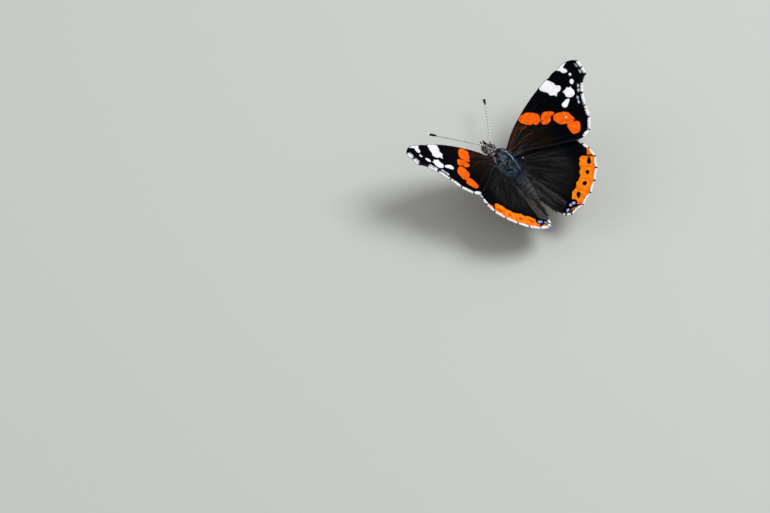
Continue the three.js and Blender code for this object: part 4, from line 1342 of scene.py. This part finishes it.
def make_fringe(plan, veins, side_name, mapped):
    """Long scales that stand out from the margin, white between the veins and black at their ends."""
    random = np.random.default_rng(plan["fringe_seed"])
    line, closeness = margin_line(plan, veins)
    lengths = travelled(line)
    count = int(lengths[-1] / FRINGE_SPACING)
    wanted = np.sort(random.uniform(0, lengths[-1], count))
    at = at_lengths(line, wanted)
    close = np.interp(wanted, lengths, closeness)
    before, after = np.maximum(wanted - 0.4, 0), np.minimum(wanted + 0.4, lengths[-1])
    ahead = at_lengths(line, after) - at_lengths(line, before)
    out = unit(np.stack([-ahead[:, 1], ahead[:, 0]], 1))
    dark = close < random.normal(0.25, 0.03, count)
    if not plan["folded"]:
        dark |= np.hypot(*(at - DARK_FRINGE["at"]).T) < random.normal(DARK_FRINGE["radius"], 0.15, count)
    fringe = Tufts(random, "dark")
    for inset, white_length, dark_length in FRINGE_ROWS[plan["name"], side_name]:
        inner = at - out * inset
        root = place(plan, inner)
        normal = wing_normals(plan, inner)
        lie = place(plan, inner + out * 0.1) - root
        length = np.where(dark, dark_length, white_length * (0.85 + 0.3 * smoothstep(close, 0.2, 1.1)))
        for face in (normal, -normal):
            foot = root + face * FRINGE_OFFSET
            fringe.add("fringe", foot, face, lie, length, 0.03, mapped(inner), dark=dark)
    fringe.build(f"{plan['name']}_{side_name}_fringe", FRINGE_HAIR, plan["name"], SIDES[side_name])


def make_wing_hair(plan, side_name, plane, surface, flat, from_vein):
    """Long fine hair that fans out from the wing's root, in pale and dark streaks."""
    random = np.random.default_rng(plan["hair_seed"])
    count = plan["hair_count"]
    reach = np.hypot(*plane.T)
    if plan["folded"]:
        weights = fade(reach, 6, 15) * fade(plane[:, 1], -1, 3) * 0.4
        weights = weights + fade(from_crease(plane), -0.5, 2.0) * fade(reach, 12, 17)
    else:
        weights = fade(reach, 2.5, 9.0) ** 1.5
    root, normal, read = surface.scatter(weights, count, random)
    at = read(plane)
    lie = place(plan, at + unit(at + [FAN_INSET, 0.0]) * 0.1) - place(plan, at)
    far = np.hypot(*at.T)
    streak = np.array([noise.noise((turn * 16, out * 0.12, 3.0)) for turn, out in zip(fan_angle(at), far)])
    tints = {"pale": smoothstep(streak, 0.05, 0.4)}
    if plan["folded"]:
        # The tan of the inner hair follows the same painted light and shade
        tan = fade(from_crease(at), -0.6, 0.5) * inner_light(side_name, at)
        on_vein = fade(read(from_vein), 0.1, 0.45) * (random.random(count) < 0.7) * fade(at[:, 1], -7, -3)
        pale = np.maximum(tints["pale"], on_vein) * PALE_HAIR[side_name]
        tints["pale"] = np.maximum(pale, tan * smoothstep(streak, -0.05, 0.2))
        tints["tan"] = tan
        tints["bluish"] = (random.random(count) < 0.07) * fade(far, 3.0, 6.0)
    else:
        rusty = (off_line(at, RUST_LINE) < 0.16) & (random.random(count) < 0.7)
        tints["rusty"] = rusty * RUSTY_HAIR[side_name]
        tints["bluish"] = (random.random(count) < 0.34) * fade(far, 2.4, 4.2) * (at[:, 1] < 0.6)
    length = plan["hair_length"] * (0.6 + 0.4 * smoothstep(far, 1, 6))
    hair = Tufts(random, "rusty", "bluish", "pale", "tan")
    hair.add("wing", root + normal * MEMBRANE / 2, normal, lie, length, 0.05, read(flat), **tints)
    if plan["folded"]:
        add_edge_hair(hair, plan, HIND_INNER[side_name], flat, EDGE_TAN[side_name])
    else:
        add_edge_hair(hair, plan, FORE_VEINS[-1][1], flat, 0.0)
    hair.build(f"{plan['name']}_{side_name}_hair", WING_HAIR, plan["name"], SIDES[side_name])


def add_edge_hair(hair, plan, path, flat, tan):
    """Long hair off the fore wing's rear edge or the hind wing's inner one, over the gap beside it."""
    style = EDGE_HAIR[plan["name"]]
    count, facing = style["count"], style["facing"]
    edge = along_curve(curve_points(path, 200), np.linspace(*style["stretch"], 200))
    picks = hair.random.integers(0, len(edge) - 1, count)
    run = unit(edge[picks + 1] - edge[picks])
    outward = np.stack([-run[:, 1], run[:, 0]], 1)
    at = edge[picks] + outward * hair.random.uniform(0.05, 0.7, (count, 1))
    root = place(plan, at)
    own = wing_normals(plan, at)
    normal = own if facing is None else np.tile(unit(np.array(facing)), (count, 1))
    lie = unit(place(plan, at + run * 0.1) - root) + style["lean"]
    spot = flat.mean(0) + (at - at.mean(0)) / 60
    hair.add("wing_edge", root + own * MEMBRANE / 2, normal, lie, style["length"], 0.25, spot,
             pale=hair.random.random(count) < 0.3, tan=tan)


# Trunk


def ring_phase(y):
    """How far along its own ring a place on the abdomen is, from 0 to 1."""
    share = (y - ABDOMEN_FRONT) / (ABDOMEN_TIP - ABDOMEN_FRONT)
    return np.clip(share * (ABDOMEN_RINGS + 0.15), 0, None) % 1.0


def skin_shape():
    """Rows along the trunk: place, then half width, half height and height of the centre."""
    shares = np.linspace(0.045, 0.999, 60)
    girth = ABDOMEN_RADIUS * np.sqrt(1 - shares**3.2) * (1 - 0.16 * shares)
    abdomen = np.stack([
        ABDOMEN_FRONT + (ABDOMEN_TIP - ABDOMEN_FRONT) * shares,
        np.maximum(girth, 0.12),
        np.maximum(girth * 0.94, 0.12),
        ABDOMEN_AXIS[0] + (ABDOMEN_AXIS[1] - ABDOMEN_AXIS[0]) * shares**1.3,
    ], 1)
    smooth = curve_points(np.vstack([np.array(SKIN), abdomen]), 900)
    y = np.concatenate([
        np.linspace(SKIN[0][0], ABDOMEN_FRONT, SKIN_ROWS[0]),
        np.linspace(ABDOMEN_FRONT + 0.05, ABDOMEN_TIP, SKIN_ROWS[1]),
    ])
    shape = np.stack([np.interp(y, smooth[:, 0], column) for column in smooth[:, 1:].T], 1)
    step = np.where(y > 4.9, RING_STEP * window(ring_phase(y), (0.1, 0.9), (0.93, 1)), 0)
    shape[:, :2] += step[:, None] * np.minimum(shape[:, :1] / 0.6, 1)
    return y, shape


def trunk_surface():
    y, shape = skin_shape()
    angle = 2 * np.pi * np.arange(SKIN_SIDES) / SKIN_SIDES
    rings = np.stack([
        shape[:, :1] * np.cos(angle),
        np.repeat(y[:, None], SKIN_SIDES, 1),
        shape[:, 2:] + shape[:, 1:2] * np.sin(angle),
    ], -1)
    return capped(rings)


def trunk_bake(points):
    """The skin unrolled: round the body across the map, head to tail up it."""
    around = np.arctan2(points[:, 2], points[:, 0]) / (2 * np.pi) + 0.5
    along = (points[:, 1] - BAKE_REACH[0]) / (BAKE_REACH[1] - BAKE_REACH[0])
    return np.stack([around, along], 1) * (1 - 2 * BAKE_BORDER) + BAKE_BORDER


def in_eye(points, grow):
    """Which points lie inside either eye, its radii grown by a factor."""
    offset = (np.hstack([np.abs(points[:, :1]), points[:, 1:]]) - EYE_CENTRE) / (np.array(EYE_RADII) * grow)
    return np.sum(offset**2, axis=1) < 1


def make_trunk():
    points, faces = trunk_surface()
    values = {"home": points}
    made = build("trunk_skin", points, faces, [TRUNK_SKIN], values=values, bake_map=trunk_bake(points))
    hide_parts("thorax", "abdomen", "head")
    skin = Surface(points, split(faces))
    random = np.random.default_rng(TRUNK_SEED)
    make_thorax_hair(skin, random)
    make_shoulder_hair(skin, random)
    make_abdomen_coat(skin, random)
    make_head_hair(skin, np.random.default_rng(HEAD_SEED))


def make_thorax_hair(skin, random):
    y, z = skin.points[:, 1], skin.points[:, 2]
    weights = window(y, (-5.1, -4.4), (4.5, 5.1)) * (1 - 0.3 * np.clip(-z, 0, 2) / 2)
    root, normal, _ = skin.scatter(weights, THORAX_HAIRS, random)
    x, y, z = root.T
    top = smoothstep(z, 0.5, 1.8)
    rear = smoothstep(y, 1.0, 3.8)
    front = fade(y, -4.6, -3.4)
    swirl = np.array([noise.noise(spot * 0.9) for spot in root * [1, 0.6, 1]])
    lie = np.stack([0.3 * np.clip(x, -1, 1) + 0.9 * swirl, 1 + 0 * top, -0.25 * (1 - top)], 1)
    speckled = fade(y - 0.75 * np.abs(x), -4.4, -3.9) * smoothstep(z - 0.2 * y, 0.4, 1.0)
    thorax = Tufts(random, *TRUNK_TINTS)
    thorax.add("thorax", root, normal, lie, 1.5 - 0.4 * top + 0.4 * rear - 0.4 * front,
               (0.24 - 0.06 * top) * (1 - 0.7 * rear), trunk_bake(root), speckled=speckled)
    thorax.build("thorax_hair", TRUNK_HAIR, "thorax_coat")


def make_shoulder_hair(skin, random):
    """Longer hair from the shoulders over the roots of the wings, and the thorax's strokes of painted shade,
    highlights and sheen.
    """
    x, y, z = skin.points.T
    weights = window(y, (-3.8, -3.0), (3.4, 4.2)) * (np.abs(x) > 1.3) * smoothstep(z, -0.4, 0.4)
    weights = weights * np.where(x > 0, 2 * fade(z, 0.8, 1.3), fade(z, 0.8, 1.1))
    root, normal, _ = skin.scatter(weights, SHOULDER_HAIRS, random)
    shoulders = Tufts(random, *TRUNK_TINTS)
    shoulders.add("shoulder", root, normal, BACKWARD, 2.0, 0.42, trunk_bake(root))
    course = curve_points(SHEEN_LINE, 300)
    strokes = [(route, SHADE_STROKE) for route in SHADE_STROKES]
    strokes += [(route, GLEAM_STROKE) for route in GLEAM_STROKES]
    strokes += [(course[:SHEEN_FADE], SHEEN_STROKE), (course[SHEEN_FADE - 10:], FAINT_SHEEN_STROKE)]
    for route, style in strokes:
        add_stroke(shoulders, route, **style)
    shoulders.build("shoulder_hair", TRUNK_HAIR, "thorax_coat")


def make_abdomen_coat(skin, random):
    """Scales in rings, and hair that stands off along both sides."""
    x, y, z = skin.points.T
    root, normal, _ = skin.scatter(smoothstep(y, 4.4, 4.9), ABDOMEN_SCALE_COUNT, random)
    front = fade(root[:, 1], 5.0, 6.6)
    length = 0.45 + 0.7 * front + 0.25 * smoothstep(root[:, 1], 12.6, 13.4)
    abdomen = Tufts(random, "band")
    abdomen.add("abdomen", root, normal, BACKWARD, length, 0.12 + 0.3 * front, trunk_bake(root),
                band=ring_phase(root[:, 1]))
    beside = bell(z, 0.1, 0.5) * window(y, (6.5, 8.5), (12.0, 12.8)) * (y > 6) * (np.abs(x) > 0.5)
    root, normal, _ = skin.scatter(beside, ABDOMEN_SIDE_HAIRS, random)
    lie = np.sign(root[:, :1]) * [0.3, 0, 0] + [0, 1, -0.1]
    abdomen.add("abdomen_side", root, normal, lie, 1.0, 1.1, trunk_bake(root))
    abdomen.build("abdomen_coat", ABDOMEN_SCALES, "abdomen_coat")


def make_head_hair(skin, random):
    """Hair of the head and collar, of the eyes' rims and behind the head, and specks over them."""
    x, y, z = skin.points.T
    root, normal, _ = skin.scatter(fade(y, -5.2, -4.7) * ~in_eye(skin.points, 1.02), HEAD_HAIRS, random)
    crown = smoothstep(root[:, 2], 0.0, 0.5)
    collar = smoothstep(root[:, 1], -6.0, -5.3)
    face = fade(root[:, 1], -7.0, -6.4)
    lie = np.stack([0.3 * root[:, 0], 1.0 - 1.6 * face, 0.25 + 0.5 * face], 1)
    head = Tufts(random, "white", "black", "plain")
    head.add("head", root, normal, lie, 0.36 + 0.4 * collar + 0.3 * crown * face, 0.4 + 0.1 * collar,
             trunk_bake(root))
    add_eye_rims(head)
    reach = np.where(x > 0, 0.9, -2.4)
    weights = smoothstep(y, -4.8, -4.2) * fade(y, reach - 0.8, reach) * (np.abs(x) > 1.3)
    weights = weights * window(z, (-0.3, 0.2), (1.3, 1.7))
    root, normal, _ = skin.scatter(weights, NAPE_HAIRS, random)
    head.add("nape", root, normal, BACKWARD, 0.8, 0.8, trunk_bake(root), black=0.3)
    for specks, white in ((WHITE_SPECKS, 1.0), (BLACK_SPECKS, 0.0)):
        add_specks(head, specks, white)
    head.build("head_hair", HEAD_HAIR, "head_coat")


def on_trunk(y, across):
    """Places on the trunk's skin, and which way it faces there."""
    rows, shape = skin_shape()
    wide, high, middle = (np.interp(y, rows, column) for column in shape.T)
    side, up = -ACROSS[0] * wide, ACROSS[2] * high
    reach = np.clip((across - ACROSS[2] * middle) / np.hypot(side, up), -1, 1)
    angle = np.arctan2(up, side) + np.arccos(reach)
    root = np.stack([-wide * np.cos(angle), y, middle + high * np.sin(angle)], 1)
    return root, unit(np.stack([-np.cos(angle) / wide, 0 * y, np.sin(angle) / high], 1))


def add_stroke(coat, route, count, scatter, **tints):
    """Hair laid along a line on the thorax, over the rest of the coat."""
    route = np.array(route, float)
    share = np.sort(coat.random.uniform(0, 1, count))
    at = along_curve(route, share)
    next_at = along_curve(route, np.minimum(share + 0.05, 1))
    aside = coat.random.normal(0, scatter, count)
    root, normal = on_trunk(at[:, 0], at[:, 1] + aside)
    lie = on_trunk(next_at[:, 0] + 0.01, next_at[:, 1] + aside)[0] - root
    length = min(0.5 * np.linalg.norm(route[-1] - route[0]), 0.7)
    coat.add("stroke", root + normal * 0.4, normal, lie, length, 0.2, trunk_bake(root), **tints)


def add_specks(head, specks, white):
    """Small clusters of white or black scales on both sides of the head and shoulders."""
    spots = np.repeat(np.array(specks), SPECK_SCALES, axis=0)
    spots = spots + head.random.normal(0, 0.085, spots.shape)
    root, normal = on_trunk(spots[:, 0], spots[:, 1])
    at = root + normal * np.where(root[:, 1:2] < -4.8, 0.18, 0.6)
    for side in ([1, 1, 1], [-1, 1, 1]):
        head.add("speck", at * side, normal * side, np.array([[0.0, 1.0, 0.1]]), 0.24, 0.3,
                 trunk_bake(root * side), white=white, black=1 - white, plain=1.0)


def add_eye_rims(head):
    """Pale scales round each eye with dark specks between them."""
    for side in SIDES.values():
        turn = head.random.uniform(0, 2 * np.pi, EYE_RIM_SCALES)
        grow = head.random.uniform(1.0, 1.12, EYE_RIM_SCALES)
        round_eye = np.stack([0 * turn, np.cos(turn), np.sin(turn)], 1)
        root = EYE_CENTRE + round_eye * EYE_RADII * grow[:, None] - [0.12, 0, 0]
        root = root * [side, 1, 1]
        normal = unit(round_eye + [1.3 * side, 0, 0])
        white = head.random.random(EYE_RIM_SCALES) < np.where(root[:, 1] < EYE_CENTRE[1], 0.85, 0.65)
        keep = root[:, 1] > -7.5
        head.add("eye_rim", root[keep], normal[keep], round_eye[keep], 0.2, 0.25, trunk_bake(root[keep]),
                 white=white[keep], black=~white[keep], plain=1.0)


def make_eye(side_name):
    """An oval eye whose facets are laid out by latitude."""
    lat = np.linspace(0, np.pi, EYE_ROWS)[1:-1, None]
    angle = 2 * np.pi * np.arange(EYE_SIDES) / EYE_SIDES
    shape = np.stack([
        np.repeat(np.cos(lat), EYE_SIDES, 1),
        np.sin(lat) * np.cos(angle),
        np.sin(lat) * np.sin(angle),
    ], -1)
    points, faces = capped(shape * EYE_RADII + EYE_CENTRE)
    values = {"home": points}
    made = build(f"eye_{side_name}_dome", points, faces, [EYE_GLASS], SIDES[side_name], values=values)
    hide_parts(f"eye_{side_name}")


# Feelers, palps and tongue


def make_feeler(side_name):
    root = np.array(FEELER_ROOT)
    reach = np.array(FEELER_TIP[side_name]) - root
    length = np.linalg.norm(reach)
    share = np.linspace(0, 1, FEELER_ROWS)
    route = root + reach * share[:, None] + np.array(FEELER_BOW[side_name]) * (share * (1 - share))[:, None]
    from_root = share * length
    to_tip = (1 - share) * length
    ring = 0.5 - 0.5 * np.cos(2 * np.pi * share * FEELER_RINGS)
    club = smoothstep(CLUB_LENGTH - to_tip, 0, CLUB_LENGTH * 0.55)
    stem = FEELER_RADIUS * (1 + 0.35 * fade(from_root, 0.2, 0.6))
    close = np.sqrt(np.minimum(to_tip / 0.45 + 0.02, 1))
    radius = (stem + (CLUB_RADIUS - FEELER_RADIUS) * club) * close * (0.88 + 0.14 * ring)
    points, faces = capped(tube(route, radius, SHELL_SIDES, 0.85))
    values = {
        "ring": ring,
        "club": smoothstep(CLUB_LENGTH - to_tip, -0.2, 0.25),
        "tip": fade(to_tip, 0.55, 0.75),
        "root": fade(from_root, 0.5, 1.5),
    }
    values = {key: per_ring(data, SHELL_SIDES) for key, data in values.items()}
    made = build(f"antenna_{side_name}_shaft", points, faces, [FEELER_SHELL], SIDES[side_name], values=values)
    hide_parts(f"antenna_{side_name}")


def limb_route(joints, radii, steps):
    """Points along straight joints with each stretch swelling a little in its middle."""
    joints = np.array(joints, float)
    share = np.arange(steps) / steps
    swell = 1 + 0.22 * np.sin(np.pi * share)
    route = [a + (b - a) * share[:, None] for a, b in zip(joints[:-1], joints[1:])]
    sizes = [(a + (b - a) * share) * swell for a, b in zip(radii[:-1], radii[1:])]
    return np.vstack([*route, joints[-1:]]), np.append(np.concatenate(sizes), radii[-1] * 0.6)


def make_palp(side_name):
    route, sizes = limb_route(PALP, PALP_RADII, 14)
    points, faces = capped(tube(route, sizes, PALP_SIDES))
    values = {"home": points}
    made = build(f"palp_{side_name}_core", points, faces, [TRUNK_SKIN], SIDES[side_name], values=values)
    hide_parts(f"palp_{side_name}")
    random = np.random.default_rng(PALP_SEED)
    root, normal, _ = Surface(points, split(faces)).scatter(np.ones(len(points)), PALP_SCALES, random)
    ahead = -root[:, 1]
    tip = smoothstep(ahead, 8.2, 8.8)
    base = fade(ahead, 7.3, 8.3)
    dash = 0.9 * (np.sin(root[:, 1] * 9.5 + normal[:, 0] * 2) > 0.0)
    dark = np.clip(tip + smoothstep(normal[:, 2], 0.2, 0.6) * 0.7 + dash + 0.12, 0, 1)
    black = dark > random.random(len(root))
    bristles = Tufts(random, "white", "black", "plain")
    bristles.add("palp", root, normal, np.array([[0.0, -1.0, 0.35]]), 0.34 - 0.1 * tip + 0.4 * base,
                 0.3 + 0.5 * base, np.stack([normal[:, 2] * 0.3 + 0.5, (ahead - 7) / 3], 1),
                 white=~black, black=black, plain=1.0)
    bristles.build(f"palp_{side_name}_scales", HEAD_HAIR, "palp", SIDES[side_name])


def make_tongue():
    share = np.linspace(0, 1, TONGUE_ROWS)
    angle = np.pi / 2 - 2 * np.pi * TONGUE["turns"] * share
    radius = TONGUE["outer"] + (TONGUE["inner"] - TONGUE["outer"]) * share
    route = TONGUE["centre"] + np.stack([0 * share, -radius * np.cos(angle), radius * np.sin(angle)], 1)
    points, faces = capped(tube(route, TONGUE["radius"] * (1 - 0.5 * share), SHELL_SIDES))
    values = {"reach": per_ring(share * 8, SHELL_SIDES)}
    made = build("proboscis_coil", points, faces, [TONGUE_SHELL], values=values)
    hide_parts("proboscis")


# Legs


def foot_joints(joints):
    """The last stretch of a walking leg cut into the parts of the foot."""
    bend, toe = (np.array(joint) for joint in joints[-2:])
    shares = np.arange(1, FOOT_PARTS) / (FOOT_PARTS - 1)
    return list(joints[:-1]) + [bend + (toe - bend) * share for share in shares]


def make_leg(name, joints, radii, walking, side_name):
    if walking:
        joints = foot_joints(joints)
        radii = list(radii[:-2]) + list(np.linspace(radii[-2], radii[-1], FOOT_PARTS))
    knots = np.array(joints)
    route, sizes = limb_route(knots, radii, 10)
    points, faces = capped(tube(route, sizes, SHELL_SIDES))
    values = {"reach": per_ring(travelled(route), SHELL_SIDES), "home": points}
    node = f"{name}_{side_name}"
    made = build(f"{node}_shell", points, faces, [LEG_SHELL], SIDES[side_name], values=values)
    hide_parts(node)
    random = np.random.default_rng(LEG_SEED)
    count = LEG_SCALE_COUNTS["walking" if walking else "folded"]
    root, normal, read = Surface(points, split(faces)).scatter(np.ones(len(points)), count, random)
    far = read(values["reach"])
    lie = unit(np.diff(knots, axis=0))[stretches(root, knots)]
    length = 0.26 + (0.25 * fade(far, 3.0, 5.0) if walking else 0.5)
    coat = Tufts(random, "reach")
    coat.add("leg", root, normal, lie, length, 0.18 if walking else 0.35,
             np.stack([far / 20, 0.5 + 0.4 * normal[:, 2]], 1), reach=far)
    if walking:
        add_spines(coat, knots)
    coat.build(f"{node}_scales", LEG_SCALES, "leg", SIDES[side_name])


def stretches(places, knots):
    """Which stretch between knots each place lies nearest to."""
    gaps = []
    for a, b in zip(knots[:-1], knots[1:]):
        run = b - a
        share = np.clip((places - a) @ run / (run @ run), 0, 1)
        gaps.append(np.linalg.norm(places - a - share[:, None] * run, axis=1))
    return np.argmin(gaps, axis=0)


def add_spines(coat, knots):
    """Rows of spines under the shin and foot, a pair of spurs and a pair of claws."""
    down = np.array([0, 0, -1.0])
    runs = unit(np.diff(knots, axis=0))
    asides = unit(np.cross(runs, down))
    for index in range(1, len(runs)):
        count, radius, length = SHIN_SPINES if index == 1 else FOOT_SPINES
        share = np.repeat(np.linspace(0.1, 0.98, count), 2)[:, None]
        normal = unit(asides[index] * np.tile([1, -1], count)[:, None] + down * 0.4)
        root = knots[index] + (knots[index + 1] - knots[index]) * share + normal * radius * 0.8
        root[:, 2] = np.maximum(root[:, 2], FLOOR + 0.1)
        coat.add("spine", root, normal, runs[index:index + 1], length, 0.5, reach=3.0)
    for side in (1, -1):
        for style, knot, index, back, length, lift, reach in SPURS:
            coat.add(style, (knots[knot] - runs[index] * back)[None], asides[index][None] * side,
                     runs[index][None], length, lift, reach=reach)


FORE_SKINS = [fore_upper(), fore_under()]
HIND_SKINS = [hind_upper(), hind_under()]
FRINGE_HAIR = fringe_hair()
WING_HAIR = wing_hair()
TRUNK_SKIN = trunk_skin()
TRUNK_HAIR = trunk_hair()
ABDOMEN_SCALES = abdomen_scales()
HEAD_HAIR = head_hair()
EYE_GLASS = eye_glass()
FEELER_SHELL = feeler_shell()
TONGUE_SHELL = tongue_shell()
LEG_SHELL = leg_shell()
LEG_SCALES = leg_scales()


# Stage


def put(name, data):
    made = bpy.data.objects.new(name, data)
    bpy.context.scene.collection.objects.link(made)
    return made


def floor():
    shade = Shading("pale_floor", 0.85, 0.2)
    shade.base = FLOOR_TINT
    mesh = bpy.data.meshes.new("floor")
    far = FLOOR_REACH
    mesh.from_pydata([(-far, -far, 0), (far, -far, 0), (far, far, 0), (-far, far, 0)], [], [(0, 1, 2, 3)])
    mesh.materials.append(shade.finish())
    put("floor", mesh)


def lamp(name, direction, distance, size, power):
    """A soft square light that looks at the animal from a direction."""
    data = bpy.data.lights.new(name, "AREA")
    data.size = size
    data.energy = power
    made = put(name, data)
    toward = unit(np.array(direction, float))
    made.location = toward * distance
    helper = np.array([0, 1.0, 0]) if abs(toward[2]) > 0.9 else np.array([0, 0, 1.0])
    right = unit(np.cross(helper, toward))
    turned = Matrix(np.stack([right, np.cross(toward, right), toward], 1).tolist())
    made.rotation_euler = turned.to_euler()


def lights():
    world = bpy.data.worlds.new("studio")
    world.use_nodes = True
    background = world.node_tree.nodes["Background"].inputs
    background[0].default_value = (1.0, 1.0, 1.0, 1.0)
    background[1].default_value = WORLD_LIGHT
    bpy.context.scene.world = world
    for name, settings in LAMPS.items():
        lamp(name, *settings)
    bpy.context.scene.view_settings.view_transform = "Standard"


def camera():
    data = bpy.data.cameras.new("camera")
    data.sensor_width = SENSOR
    data.lens = SENSOR * VIEW_DISTANCE / VIEW_WIDTH
    data.clip_end = 20.0
    made = put("camera", data)
    axes = np.array(VIEW)
    centre = BODY_ORIGIN + axes[:, 0] * VIEW_CENTRE[0] + axes[:, 1] * VIEW_CENTRE[1]
    made.location = (centre + axes[:, 2] * VIEW_DISTANCE) * MM
    made.rotation_euler = VIEW.to_euler()
    bpy.context.scene.camera = made


camera()
floor()
lights()
for name in SIDES:
    make_wing(FORE, FORE_VEINS, FORE_SKINS, name)
    make_wing(HIND, HIND_VEINS + [("rear", HIND_INNER[name])], HIND_SKINS, name)
make_trunk()
make_tongue()
for name in SIDES:
    make_eye(name)
    make_feeler(name)
    make_palp(name)
    make_leg("fore_leg", FORE_LEG, FORE_RADII, False, name)
    make_leg("mid_leg", MID_LEG, LEG_RADII, True, name)
    make_leg("hind_leg", HIND_LEG, LEG_RADII, True, name)
